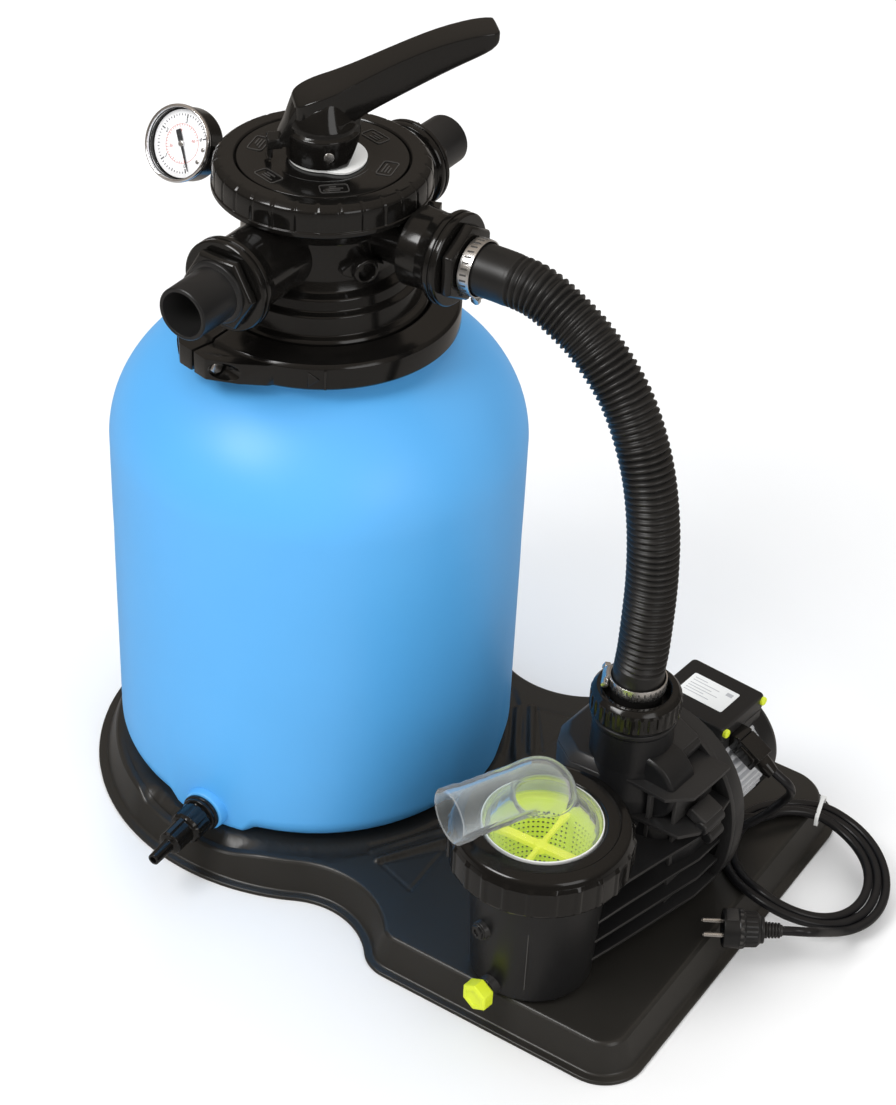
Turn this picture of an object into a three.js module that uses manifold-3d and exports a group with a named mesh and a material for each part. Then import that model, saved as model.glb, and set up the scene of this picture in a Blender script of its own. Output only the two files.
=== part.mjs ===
// Pool sand filter set: blow-moulded tank on a base tray, six-way valve with lever handle and
// pressure gauge, corrugated hose, strainer pump with electric motor, cable and plug.
// Millimetres, +Z up. The origin is on the tank's axis at floor level; +X runs towards the pump.
import * as THREE from "three";
import { mergeVertices } from "three/addons/utils/BufferGeometryUtils.js";
import Module from "manifold-3d";

const wasm = await Module();
wasm.setup();

// ---- Driving dimensions ----
const GAP = 0.3; // clearance between neighbouring pieces
const DEG = Math.PI / 180;

const TRAY = { top: 35, rim: 4, footR: 40, circleX: 11, circleR: 235, halfWidth: 239, right: 509 };
const WAIST = { x: 160, halfWidth: 197, shoulderR: 40 };
const CORNER = { front: 44, back: 58 };

const TANK = { r: 200, wall: 5, shoulderZ: 394, domeH: 133, neckR: 110, mouthR: 90 };
const DRAIN = { turn: -87 * DEG, z: 57 };

const CLAMP = { r: 130, bottom: 521, top: 546, lug: 143, split: -102.5 * DEG };
const PORT = { neckR: 34, flangeR: 43, tailR: 23.8, bore: 20 };
const RETURN_PORT = { turn: -90 * DEG, z: 619, face: 145, tip: 203 };
const WASTE_PORT = { turn: 90 * DEG, z: 619, face: 145, tip: 203 };
const PUMP_PORT = { turn: 0, z: 631, face: 149, tip: 196 };
const SIDE_BOSS = { turn: -27 * DEG, z: 612 };
const VALVE = { floor: 600, rim: 676, boreR: 66, threadR: 88 };
const LID = { nutR: 100, top: 684, nutTop: 686 };
const HANDLE = { turn: 45 * DEG, pinZ: 700, hubR: 33, base: 687.3, stemR: 12 };
const GAUGE = { x: -155, z: 647, tilt: 65 * DEG, r: 34, depth: 33,
  rest: 25 * DEG };

const HOSE = { r: 24, bore: 21.8, tailR: 20, tailBore: 17 };
const PUMP = { x: 369, y: -168, turn: -5.2 * DEG, shaftZ: 118 };
const POT = { floorR: 58, r: 64, collarR: 73.5, collarTop: 196 };
const RING = { r: 85.3, bottom: 174, top: 216 };
const ELBOW = { turn: -110.8 * DEG, z: 259, r: 26, reach: 100 };
const UNION = { x: -3, y: 140.6, seat: 250, nutR: 45.5, nutBottom: 236, nutTop: 271 };
const MOTOR = { bracket: 185, housing: 208.3, rear: 290, end: 315, r: 61, boxHalf: 41 };
const CABLE = { r: 4.5, x: 516, y: 106, z: 41, coilR: 73, pitch: 9.4,
  tie: 105 * DEG };
const PLUG = { x: 500, y: -39, z: 50, turn: -148 * DEG, r: 19, pinGap: 19 };

// ---- Looks ----
const LOOKS = {
  tankBlue: [0x58a9ee, 0.45, 0],
  trayBrown: [0x2a2522, 0.4, 0],
  glossBlack: [0x141312, 0.22, 0],
  satinBlack: [0x202022, 0.5, 0],
  rubberBlack: [0x1a1a1b, 0.7, 0],
  lime: [0xd3e032, 0.45, 0],
  clear: [0xdfe8e8, 0.1, 0],
  steel: [0xb9bbbd, 0.3, 1],
  aluminium: [0xa9abad, 0.45, 1],
  nylon: [0xe8e8e4, 0.5, 0],
  copper: [0xb06a3a, 0.4, 1],
  sand: [0xd8c7a0, 0.95, 0],
  dialWhite: [0xf3f3f0, 0.6, 0],
  seal: [0x111111, 0.8, 0],
};

function look(kind) {
  const [color, roughness, metalness] = LOOKS[kind];
  const material = new THREE.MeshStandardMaterial({ color, roughness, metalness });
  if (kind === "clear") {
    material.transparent = true;
    material.opacity = 0.35;
  }
  return material;
}

// ---- Solids and booleans ----
function signedVolume(geometry) {
  const at = geometry.attributes.position;
  const index = geometry.index.array;
  const [a, b, c] = [new THREE.Vector3(), new THREE.Vector3(), new THREE.Vector3()];
  let sum = 0;
  for (let i = 0; i < index.length; i += 3) {
    a.fromBufferAttribute(at, index[i]);
    b.fromBufferAttribute(at, index[i + 1]);
    c.fromBufferAttribute(at, index[i + 2]);
    sum += a.dot(b.cross(c)) / 6;
  }
  return sum;
}

// One closed mesh with shared vertices, no collapsed triangles and its faces pointing out.
function weld(geometry) {
  const bare = new THREE.BufferGeometry();
  bare.setAttribute("position", geometry.attributes.position.clone());
  if (geometry.index) bare.setIndex(geometry.index.clone());
  const merged = mergeVertices(bare, 1e-3);
  const index = merged.index.array;
  const kept = [];
  for (let i = 0; i < index.length; i += 3) {
    const [a, b, c] = [index[i], index[i + 1], index[i + 2]];
    if (a !== b && b !== c && c !== a) kept.push(a, b, c);
  }
  merged.setIndex(kept);
  if (signedVolume(merged) < 0) {
    const flipped = kept.slice();
    for (let i = 0; i < kept.length; i += 3) {
      flipped[i] = kept[i + 1];
      flipped[i + 1] = kept[i];
    }
    merged.setIndex(flipped);
  }
  return merged;
}

function toSolid(geometry) {
  const welded = weld(geometry);
  const vertProperties = new Float32Array(welded.attributes.position.array);
  const triVerts = new Uint32Array(welded.index.array);
  return new wasm.Manifold(new wasm.Mesh({ numProp: 3, vertProperties, triVerts }));
}

function toGeometry(solid) {
  const { vertProperties, triVerts } = solid.getMesh();
  const geometry = new THREE.BufferGeometry();
  geometry.setAttribute("position", new THREE.BufferAttribute(vertProperties, 3));
  geometry.setIndex(new THREE.BufferAttribute(triVerts, 1));
  return geometry;
}

function join(...pieces) {
  return toGeometry(pieces.map(toSolid).reduce((sum, piece) => sum.add(piece)));
}

function cut(base, ...tools) {
  return toGeometry(tools.map(toSolid).reduce((rest, tool) => rest.subtract(tool), toSolid(base)));
}

function overlap(first, second) {
  return toGeometry(toSolid(first).intersect(toSolid(second)));
}

// ---- Shape helpers ----
// A body turned about +Z from [radius, height] pairs; a ring's profile closes on itself.
function turned(profile, segments = 20) {
  const points = profile.map(([r, z]) => new THREE.Vector2(r, z));
  const ring = profile[0][0] > 0 || profile[profile.length - 1][0] > 0;
  if (ring) points.push(points[0].clone());
  return new THREE.LatheGeometry(points, segments).rotateX(Math.PI / 2);
}

function rod(r, from, to, segments = 12) {
  return turned([[0, from], [r, from], [r, to], [0, to]], segments);
}

function pipe(outer, inner, from, to, segments = 16) {
  return turned([[inner, from], [outer, from], [outer, to], [inner, to]], segments);
}

function torus(r, section, z, segments = 24) {
  return new THREE.TorusGeometry(r, section, 4, segments).translate(0, 0, z);
}

function block(x0, x1, y0, y1, z0, z1) {
  const box = new THREE.BoxGeometry(x1 - x0, y1 - y0, z1 - z0);
  return box.translate((x0 + x1) / 2, (y0 + y1) / 2, (z0 + z1) / 2);
}

function slab(shape, from, to, curveSegments = 8) {
  const options = { depth: to - from, bevelEnabled: false, curveSegments };
  return new THREE.ExtrudeGeometry(shape, options).translate(0, 0, from);
}

// Turns a piece built along +Z so that it points outwards at an angle about the Z axis.
function outward(geometry, turn, z) {
  return geometry.rotateY(Math.PI / 2).rotateZ(turn).translate(0, 0, z);
}

// Turns a piece built along +Z so that it lies along the pump's shaft.
function alongShaft(geometry) {
  return geometry.rotateX(-Math.PI / 2).translate(0, 0, PUMP.shaftZ);
}

function swept(path, outer, inner, steps, sides) {
  const shape = new THREE.Shape().absarc(0, 0, outer, 0, 2 * Math.PI);
  if (inner > 0) shape.holes.push(new THREE.Path().absarc(0, 0, inner, 0, 2 * Math.PI, true));
  const options = { steps, extrudePath: path, curveSegments: sides };
  return new THREE.ExtrudeGeometry(shape, options);
}

function add(parent, name, geometry, kind) {
  const mesh = new THREE.Mesh(weld(geometry), look(kind));
  mesh.name = name;
  parent.add(mesh);
}

// ---- Base tray ----
// The outline's arcs, right to left along the back edge. Insetting keeps every centre.
function trayArcs(cornerR) {
  const dx = WAIST.x - TRAY.circleX;
  const reach = dx ** 2 + WAIST.halfWidth ** 2 - TRAY.circleR ** 2;
  const waistR = reach / (2 * (TRAY.circleR - WAIST.halfWidth));
  const waistY = WAIST.halfWidth + waistR;
  const shoulderY = TRAY.halfWidth - WAIST.shoulderR;
  const rise = waistY - shoulderY;
  const run = Math.sqrt((waistR + WAIST.shoulderR) ** 2 - rise ** 2);
  const meet = Math.atan2(rise, -run);
  const lean = Math.atan2(waistY, dx);
  return [
    { x: TRAY.right - cornerR, y: TRAY.halfWidth - cornerR, r: cornerR, grow: -1,
      from: 0, to: Math.PI / 2, points: 5 },
    { x: WAIST.x + run, y: shoulderY, r: WAIST.shoulderR, grow: -1,
      from: Math.PI / 2, to: meet, points: 3 },
    { x: WAIST.x, y: waistY, r: waistR, grow: 1,
      from: meet - Math.PI, to: lean - Math.PI, points: 5 },
    { x: TRAY.circleX, y: 0, r: TRAY.circleR, grow: -1,
      from: lean, to: Math.PI, points: 11 },
  ];
}

function halfOutline(cornerR, inset) {
  const points = [];
  for (const arc of trayArcs(cornerR)) {
    for (let i = 0; i < arc.points; i += 1) {
      const angle = arc.from + ((arc.to - arc.from) * i) / (arc.points - 1);
      const r = arc.r + arc.grow * inset;
      points.push(new THREE.Vector2(arc.x + r * Math.cos(angle), arc.y + r * Math.sin(angle)));
    }
  }
  return points;
}

function trayRing(inset, z) {
  const back = halfOutline(CORNER.back, inset);
  const front = halfOutline(CORNER.front, inset).map((p) => new THREE.Vector2(p.x, -p.y));
  front.reverse();
  return [...back, ...front.slice(1)].map((p) => new THREE.Vector3(p.x, p.y, z));
}

// Joins closed loops of equal length into one skin and closes both ends.
function lofted(rings) {
  const count = rings[0].length;
  const points = rings.flat();
  const index = [];
  for (let k = 0; k + 1 < rings.length; k += 1) {
    for (let i = 0; i < count; i += 1) {
      const [a, b] = [k * count + i, k * count + ((i + 1) % count)];
      index.push(a, b, b + count, a, b + count, a + count);
    }
  }
  const flat = (ring) => ring.map((p) => new THREE.Vector2(p.x, p.y));
  const last = (rings.length - 1) * count;
  for (const [a, b, c] of THREE.ShapeUtils.triangulateShape(flat(rings[0]), [])) {
    index.push(a, c, b);
  }
  for (const [a, b, c] of THREE.ShapeUtils.triangulateShape(flat(rings[rings.length - 1]), [])) {
    index.push(last + a, last + b, last + c);
  }
  const geometry = new THREE.BufferGeometry().setFromPoints(points);
  geometry.setIndex(index);
  return geometry;
}

function baseTray() {
  const sections = [[24, TRAY.top - 3], [12.5, 0], [0, 0], [0, TRAY.rim], [9, TRAY.rim],
    [19.5, TRAY.top - 2], [22, TRAY.top]];
  const foot = rod(TRAY.footR, 0, TRAY.top - 2, 16);
  return join(lofted(sections.map(([inset, z]) => trayRing(inset, z))), foot);
}

// ---- Tank and filter bed ----
// The tank's side from base to neck, drawn in by an offset for the wall's inside.
function tankSide(offset, domeSteps) {
  const base = TRAY.top + GAP + offset;
  const r = TANK.r - offset;
  const points = [[0, base]];
  const footR = 30 - offset;
  for (let i = 0; i <= 3; i += 1) {
    const angle = (i / 3) * (Math.PI / 2);
    points.push([r - footR + footR * Math.sin(angle), base + footR * (1 - Math.cos(angle))]);
  }
  points.push([r, TANK.shoulderZ]);
  const domeEnd = 58.5 * DEG;
  for (let i = 1; i <= domeSteps; i += 1) {
    const angle = (i / domeSteps) * domeEnd;
    const x = r * Math.cos(angle) ** 0.82;
    points.push([x, TANK.shoulderZ + (TANK.domeH - offset) * Math.sin(angle) ** 1.02]);
  }
  return points;
}

function tankShell() {
  const neck = [[TANK.neckR, 513], [TANK.neckR, 524], [118, 524], [118, 531], [0, 531]];
  const boss = outward(rod(19, 160, 206, 14), DRAIN.turn, DRAIN.z);
  const bore = outward(rod(9, 180, 210, 12), DRAIN.turn, DRAIN.z);
  const mouth = [[TANK.mouthR, 508], [TANK.mouthR, 540], [0, 540]];
  const inside = turned([...tankSide(TANK.wall, 3), ...mouth], 24);
  return cut(join(turned([...tankSide(0, 5), ...neck], 28), boss), inside, bore);
}

function underdrainBody(grow) {
  const hub = rod(28 + grow, 60 - grow, 100 + grow);
  const laterals = [];
  for (let i = 0; i < 6; i += 1) {
    laterals.push(outward(rod(8 + grow, 15, 112 + grow, 6), (i * Math.PI) / 3, 80));
  }
  return join(hub, ...laterals);
}

function sandBed() {
  const side = tankSide(TANK.wall + GAP, 1).filter(([, z]) => z < 290);
  const bed = turned([...side, [TANK.r - TANK.wall - 1.6, 300], [0, 300]], 24);
  return cut(bed, underdrainBody(0.5), rod(21, 90, 310, 14));
}

function drain(parent) {
  const place = (geometry) => outward(geometry, DRAIN.turn, DRAIN.z);
  const socket = [[0, 197.5], [8.6, 197.5], [8.6, 206.3], [19.5, 206.3], [19.5, 214], [9.8, 214],
    [9.8, 226], [0, 226]];
  const cap = [[0, 226.5], [10.2, 226.5], [10.2, 214.5], [17, 214.5], [17, 236], [14.5, 240],
    [12, 262], [5.8, 262], [5, 286], [4, 288], [2.4, 288], [2.4, 270], [0, 270]];
  add(parent, "tank_drain_socket", place(turned(socket, 12)), "glossBlack");
  add(parent, "tank_drain_cap", place(turned(cap, 14)), "glossBlack");
}

// ---- Clamp ring ----
function clampHalf(side) {
  const section = [[TANK.neckR + 2.5, CLAMP.bottom], [CLAMP.r, CLAMP.bottom], [CLAMP.r, 543],
    [128, CLAMP.top], [102.4, 551], [102.4, 541.4], [120, 541.4], [120, 523.6],
    [TANK.neckR + 2.5, 523.6]];
  const half = block(-170, 170, Math.min(0, side * 170), Math.max(0, side * 170), 500, 560);
  const keep = half.translate(0, side * 1.5, 0);
  const lugs = [-1, 1].map((end) => {
    const plan = new THREE.Shape([[110, 1.5], [153, 1.5], [153, 17], [134, 52], [110, 62]].map(
      ([x, y]) => new THREE.Vector2(end * x, side * y)));
    return cut(slab(plan, 523, 543), rod(122, 500, 560, 26));
  });
  const headRoom = [rod(8.4, 17, 70, 8), rod(8.4, -70, -17, 8)];
  const bores = [-1, 1].map((end) => clampBore(join(rod(4.4, -40, 40, 8), ...headRoom), end));
  const arc = overlap(turned(section, 26), keep);
  return cut(join(arc, ...lugs), ...bores).rotateZ(CLAMP.split);
}

function clampBore(geometry, end) {
  return geometry.rotateX(Math.PI / 2).translate(end * CLAMP.lug, 0, 533);
}

function clampBolt(end) {
  const shank = rod(4, -24, 24, 8);
  const head = rod(7.2, -23, -17.4, 6);
  const nut = rod(6.6, 17.4, 23, 6);
  return clampBore(join(shank, head, nut), end).rotateZ(CLAMP.split);
}

// ---- Valve ----
function valveBody() {
  const outside = [[84, 512], [89, 512], [89, 535.6], [118, 535.6], [118, 541],
    [100.8, 541], [99.5, 551], [93, 554], [91, 574], [84, 577], [83, 586], [75, 592], [74, 640],
    [VALVE.threadR - 1, 655], [VALVE.threadR - 1, VALVE.rim]];
  const inside = [[VALVE.boreR, VALVE.rim], [VALVE.boreR, VALVE.floor], [20.5, VALVE.floor],
    [20.5, 560], [26, 560], [26, 590], [68, 590], [84, 540]];
  const shell = turned([...outside, ...inside], 24);
  const ports = [RETURN_PORT, PUMP_PORT, WASTE_PORT];
  const necks = ports.map(({ turn, z, face }) => {
    const neck = [[0, 66], [PORT.neckR, 66], [PORT.neckR + 2, face - 10], [PORT.flangeR, face - 8],
      [PORT.flangeR, face], [0, face]];
    return outward(turned(neck, 14), turn, z);
  });
  const gaugeBoss = outward(rod(8.6, 70, 93, 10), Math.PI, GAUGE.z);
  const sideBoss = outward(rod(12, 68, 83, 12), SIDE_BOSS.turn, SIDE_BOSS.z);
  const solid = join(shell, ...necks, gaugeBoss, sideBoss);
  const bores = ports.flatMap(({ turn, z, face }) => [
    outward(rod(PORT.bore, 60, face + 5, 12), turn, z),
    outward(rod(25, face - 35, face + 5, 16), turn, z),
  ]);
  const windows = [30, 150, 270].map((turn) => {
    return rod(11, 580, 610, 8).translate(46, 0, 0).rotateZ(turn * DEG);
  });
  const gaugeBore = outward(rod(6.6, 80, 100, 10), Math.PI, GAUGE.z);
  const sideBore = outward(rod(7.5, 76, 90, 10), SIDE_BOSS.turn, SIDE_BOSS.z);
  const nutRoom = pipe(102, VALVE.threadR - 1, 655.2, 700, 24);
  const bowl = rod(VALVE.boreR, VALVE.floor, 680, 24);
  return cut(solid, bowl, nutRoom, ...bores, ...windows, gaugeBore, sideBore);
}

function spiderGasket() {
  const windows = [30, 150, 270].map((turn) => {
    return rod(12, 590, 610, 8).translate(46, 0, 0).rotateZ(turn * DEG);
  });
  return cut(pipe(63, 21.5, VALVE.floor + GAP, VALVE.floor + 3.6, 20), ...windows);
}

function valveRotor() {
  const profile = [[0, 604.3], [58, 604.3], [63, 610], [63, 618], [28, 634], [26, 640],
    [HANDLE.stemR, 640], [HANDLE.stemR, 720], [0, 720]];
  const pinBore = rod(4.7, -20, 20, 10).rotateX(Math.PI / 2).translate(0, 0, HANDLE.pinZ);
  return cut(turned(profile, 20), pinBore.rotateZ(HANDLE.turn));
}

function coilSpring(r, wire, bottom, top, turns) {
  const points = [];
  const steps = turns * 8;
  for (let i = 0; i <= steps; i += 1) {
    const angle = (i / 8) * 2 * Math.PI;
    const z = bottom + wire + ((top - bottom - 2 * wire) * i) / steps;
    points.push(new THREE.Vector3(r * Math.cos(angle), r * Math.sin(angle), z));
  }
  return swept(new THREE.CatmullRomCurve3(points), wire, 0, steps, 2);
}

function valveLid() {
  return turned([[12.5, 676.3], [74, 676.3], [74, 679.2], [79.5, 679.2], [79.5, 676.3], [87.5, 676.3],
    [87.5, 680.4], [77, 680.6], [76.5, LID.top], [12.5, LID.top]], 20);
}

function lidNut() {
  return turned([[89.2, 656.3], [LID.nutR, 656.3], [LID.nutR, 679], [97, 684], [92, LID.nutTop],
    [78, LID.nutTop], [78, 681], [89.2, 681]], 30);
}

// ---- Lever handle ----
function leverSide() {
  const side = new THREE.Shape();
  side.moveTo(-25, 722);
  side.lineTo(-27, 742);
  side.quadraticCurveTo(-26, 756, -12, 758);
  side.bezierCurveTo(34, 766, 90, 793, 138, 804);
  side.quadraticCurveTo(152, 806, 152, 792);
  side.quadraticCurveTo(151, 779, 140, 776);
  side.bezierCurveTo(104, 766, 68, 747, 30, 724);
  return side;
}

function leverPlan() {
  const plan = new THREE.Shape();
  plan.absarc(-4, 0, 23.5, Math.PI / 2, 1.5 * Math.PI);
  plan.bezierCurveTo(26, -23, 46, -15, 90, -16.5);
  plan.lineTo(136, -17.5);
  plan.quadraticCurveTo(152, -17.5, 152, -8);
  plan.lineTo(152, 8);
  plan.quadraticCurveTo(152, 17.5, 136, 17.5);
  plan.lineTo(90, 16.5);
  plan.bezierCurveTo(46, 15, 26, 23, -4, 23.5);
  return plan;
}

function leverHandle() {
  const side = slab(leverSide(), -30, 30, 5).rotateX(Math.PI / 2);
  const arm = overlap(side, slab(leverPlan(), 700, 810, 5));
  const hub = rod(HANDLE.hubR, HANDLE.base, 726, 24);
  const pointer = block(-47, -28, -5, 5, 689, 702);
  const slot = block(-22.5, 18, -12.7, 12.7, 680, 729);
  const pinBore = rod(4.7, -40, 40, 10).rotateX(Math.PI / 2).translate(0, 0, HANDLE.pinZ);
  return cut(join(arm, hub, pointer), slot, pinBore).rotateZ(HANDLE.turn);
}

function handlePin() {
  const pin = rod(4.3, -32, 32, 10).rotateX(Math.PI / 2).translate(0, 0, HANDLE.pinZ);
  return pin.rotateZ(HANDLE.turn);
}

// ---- Pressure gauge (built facing +Z, then tilted towards the front) ----
function gauge(parent) {
  const group = new THREE.Group();
  group.position.set(GAUGE.x, 0, GAUGE.z);
  group.rotation.x = GAUGE.tilt;
  parent.add(group);
  const back = -GAUGE.depth / 2;
  const front = GAUGE.depth / 2;
  const can = turned([[0, back], [30, back], [GAUGE.r, back + 4], [GAUGE.r, 6], [36, 7], [36, front - 2],
    [34.5, front], [30.5, front], [30.5, 13.4], [33.4, 13.4], [33.4, 10.2], [31.5, 10.2],
    [31.5, -8], [0, -8]], 20);
  const alongX = (geometry) => geometry.rotateY(Math.PI / 2);
  const stem = alongX(join(rod(6, 33, 72, 10), rod(9.5, 36, 60, 6)));
  add(group, "gauge_case", join(can, stem), "glossBlack");
  add(group, "gauge_dial", cut(rod(31, 5.5, 6.5, 24), rod(1.6, 0, 10, 6)), "dialWhite");
  const pointer = new THREE.Shape();
  pointer.moveTo(0, -26);
  pointer.lineTo(1.4, 0);
  pointer.lineTo(1.8, 11);
  pointer.lineTo(-1.8, 11);
  pointer.lineTo(-1.4, 0);
  const needle = join(slab(pointer, 7.4, 8.2), rod(3, 7, 9, 8), rod(1.3, -4, 8, 6));
  add(group, "gauge_needle", needle.rotateZ(GAUGE.rest), "satinBlack");
  add(group, "gauge_lens", rod(33, 10.6, 12.9, 24), "clear");
}

// ---- Port adaptors and hose ----
function portAdaptor({ turn, z, face, tip }, tailR, boreR) {
  const spigot = rod(24.3, face - 34, face + 2, 16);
  const hex = turned([[0, face + GAP], [40, face + GAP], [40, face + 9], [37, face + 11],
    [0, face + 11]], 6);
  const tail = rod(tailR, face + 9, tip, 16);
  const bore = rod(boreR, face - 40, tip + 5, 12);
  return outward(cut(join(spigot, hex, tail), bore), turn, z);
}

// Runs straight off the valve's port, arches over and comes down on the pump's union.
function hosePath(end) {
  const start = PUMP_PORT.face + 12;
  const straight = [0, 20, 40].map((run) => [start + run, 0, PUMP_PORT.z]);
  const bend = [[228, 0, 629], [255, 0, 618], [290, -1, 596], [326, -3, 558], [352, -7, 509],
    [368, -12, 455], [376, -17, 396]];
  const drop = [[1, 2, 72], [0, 0, 42], [0, 0, 21], [0, 0, 0]].map(([x, y, z]) => {
    return [end.x + x, end.y + y, end.z + z];
  });
  const points = [...straight, ...bend, ...drop].map((p) => new THREE.Vector3(...p));
  return new THREE.CatmullRomCurve3(points);
}

function wormClamp() {
  const band = pipe(26.4, 25, -6, 6, 18);
  const housing = block(25.8, 31.5, -9, 9, -6.5, 6.5);
  const screw = rod(3.6, -14, 14, 8).rotateX(Math.PI / 2).translate(29.5, 0, 0);
  return join(band, housing, screw);
}

// ---- Pump (local frame: strainer axis on Z, shaft along +Y) ----
function strainerPot() {
  return turned([[0, TRAY.top + GAP], [55, TRAY.top + GAP], [POT.floorR, 40], [POT.r, 168],
    [POT.collarR, 172], [POT.collarR, POT.collarTop], [0, POT.collarTop]], 22);
}

function potHollow() {
  return turned([[0, 41], [53, 41], [59, 166], [61, 172], [62, 200], [0, 200]], 18);
}

function ribPlate(z) {
  const outline = new THREE.Shape();
  outline.moveTo(-59, 12);
  outline.lineTo(59, 12);
  outline.lineTo(63, 70);
  outline.lineTo(76, 150);
  outline.lineTo(76, 184);
  outline.lineTo(-70, 184);
  outline.lineTo(-70, 140);
  return slab(outline, z - 1.7, z + 1.7);
}

function pumpBody() {
  const volute = alongShaft(turned([[0, 112], [46, 112], [64, 126], [74, 150], [74, 184.6], [0, 184.6]], 14));
  const throat = alongShaft(rod(30, 40, 120, 12));
  const outlet = turned([[0, 130], [38, 130], [37, 232], [38.2, 234], [38.2, UNION.seat - GAP],
    [0, UNION.seat - GAP]], 20).translate(UNION.x, UNION.y, 0);
  const ribs = [60, 88, 116, 144].map(ribPlate);
  const web = block(-6, 6, 30, 180, 45, 118);
  const shoulder = block(-66, -20, 110, 184, 118, 186);
  const hooks = [[66, 148], [70, 172]].map(([x, z]) => block(x - 34, x, 150, 184.6, z - 3, z + 3));
  const bosses = [[-93, 48, 10], [-104, 112, 9]].map(([turn, z, r]) => {
    return outward(rod(r, 50, 66, 10), turn * DEG, z);
  });
  const solid = join(strainerPot(), volute, throat, outlet, ...ribs, web, shoulder, ...hooks, ...bosses);
  const hollows = [
    potHollow(),
    alongShaft(rod(20, 45, 145, 10)),
    alongShaft(rod(54, 138, 190, 18)),
    rod(26, 150, 260, 14).translate(UNION.x, UNION.y, 0),
    outward(rod(5.5, 48, 72, 8), -93 * DEG, 48),
    outward(rod(5.5, 48, 72, 8), -104 * DEG, 112),
  ];
  return cut(solid, ...hollows);
}

function strainerBasket() {
  const cup = turned([[0, 62], [40, 62], [47, 186], [58, 188], [58, 194], [55, 194],
    [45, 189], [38.5, 64.5], [0, 64.5]], 18);
  const bars = [45, 135].map((turn) => block(-46, 46, -4, 4, 178, 182).rotateZ(turn * DEG));
  const slots = [];
  for (let i = 0; i < 6; i += 1) {
    slots.push(block(30, 60, -4, 4, 80, 150).rotateZ(i * 60 * DEG));
  }
  return cut(join(cup, ...bars), ...slots);
}

function strainerLid() {
  const dome = turned([[0, 200.4], [73, 200.4], [73, 205], [56.5, 205], [54, 219], [48, 222], [34, 240],
    [29, 258], [0, 258]], 20);
  const bend = new THREE.SphereGeometry(29, 12, 6).translate(0, 0, 257);
  const spout = [[0, 0], [ELBOW.r, 0], [ELBOW.r, ELBOW.reach - 14], [ELBOW.r + 1.5, ELBOW.reach - 12],
    [ELBOW.r + 1.5, ELBOW.reach], [0, ELBOW.reach]];
  const tail = outward(turned(spout, 14), ELBOW.turn, ELBOW.z);
  const inner = turned([[0, 199], [52, 199], [51, 217], [45, 220], [31, 239], [26, 258], [0, 258]], 16);
  const innerBend = new THREE.SphereGeometry(25, 10, 6).translate(0, 0, 257);
  const bore = outward(rod(ELBOW.r - 3, 0, 120, 10), ELBOW.turn, ELBOW.z);
  return cut(join(dome, bend, tail), inner, innerBend, bore);
}

function strainerRing() {
  const r = RING.r;
  const body = turned([[75.4, RING.bottom], [r - 2, RING.bottom], [r - 2, 205], [78, 215],
    [72, RING.top], [58, RING.top - 4], [58, 205.4], [75.4, 205.4]], 26);
  const grips = [];
  for (let i = 0; i < 12; i += 1) {
    grips.push(block(r - 5, r, -2, 2, RING.bottom, 204).rotateZ(i * 30 * DEG));
  }
  return cut(join(body, ...grips), rod(75.4, 170, 205.4, 26));
}

function hexPlug(r, headR, length) {
  return join(rod(5, 61, 67, 8), rod(headR, 66.4, 66.4 + length, 6), rod(r, 66.4, 68.4, 8));
}

function pumpUnion(parent) {
  const group = new THREE.Group();
  group.position.set(UNION.x, UNION.y, 0);
  parent.add(group);
  const tail = [[HOSE.tailBore, UNION.seat], [37.6, UNION.seat], [37.6, UNION.seat + 5],
    [HOSE.tailR, UNION.seat + 5], [HOSE.tailR, UNION.seat + 34], [HOSE.tailBore, UNION.seat + 34]];
  add(group, "union_tail", turned(tail, 18), "glossBlack");
  const section = [[39.2, UNION.nutBottom], [UNION.nutR - 1.5, UNION.nutBottom],
    [UNION.nutR - 1.5, 264], [UNION.nutR - 4, UNION.nutTop], [39, UNION.nutTop], [38, 258.6],
    [29, 258.6], [29, 255.4], [39.2, 255.4]];
  const grips = [];
  for (let i = 0; i < 8; i += 1) {
    grips.push(block(41, UNION.nutR, -1.8, 1.8, UNION.nutBottom + 2, 262).rotateZ(i * 45 * DEG));
  }
  add(group, "union_nut", join(turned(section, 20), ...grips), "glossBlack");
}

// ---- Motor (same local frame) ----
function motorBracket() {
  const side = [[80, 20], [80, 97], [76, 128], [67, 156], [54, 183], [42, 200], [26, 214], [9, 220]];
  const outline = [...side, ...side.map(([t, z]) => [-t, z]).reverse()];
  const arch = slab(new THREE.Shape(outline.map(([t, z]) => {
    return new THREE.Vector2(t, PUMP.shaftZ - z);
  })), MOTOR.bracket, MOTOR.bracket + 16);
  const plate = alongShaft(join(arch, rod(48.4, 190, 213, 24)));
  const bores = alongShaft(join(rod(8, 180, 205, 14), rod(17.4, 199, 220, 16)));
  const foot = block(-56, 56, 186, 224, TRAY.top + GAP, 47);
  const gussets = [-50, 46].map((x) => block(x, x + 4, 198, 222, 40, 62));
  const below = block(-100, 100, 150, 250, 0, TRAY.top + GAP);
  return cut(join(plate, foot, ...gussets), bores, below);
}

function finnedTube() {
  const outline = new THREE.Shape();
  const fins = 20;
  for (let i = 0; i < fins; i += 1) {
    [[-0.28, 55.5], [-0.2, MOTOR.r], [0.2, MOTOR.r], [0.28, 55.5]].forEach(([shift, r]) => {
      const angle = ((i + shift) / fins) * 2 * Math.PI;
      const at = [r * Math.cos(angle), r * Math.sin(angle)];
      if (i === 0 && shift === -0.28) outline.moveTo(...at);
      else outline.lineTo(...at);
    });
  }
  outline.holes.push(new THREE.Path().absarc(0, 0, 50, 0, 2 * Math.PI, true));
  return slab(outline, MOTOR.housing, MOTOR.rear, 8);
}

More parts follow.
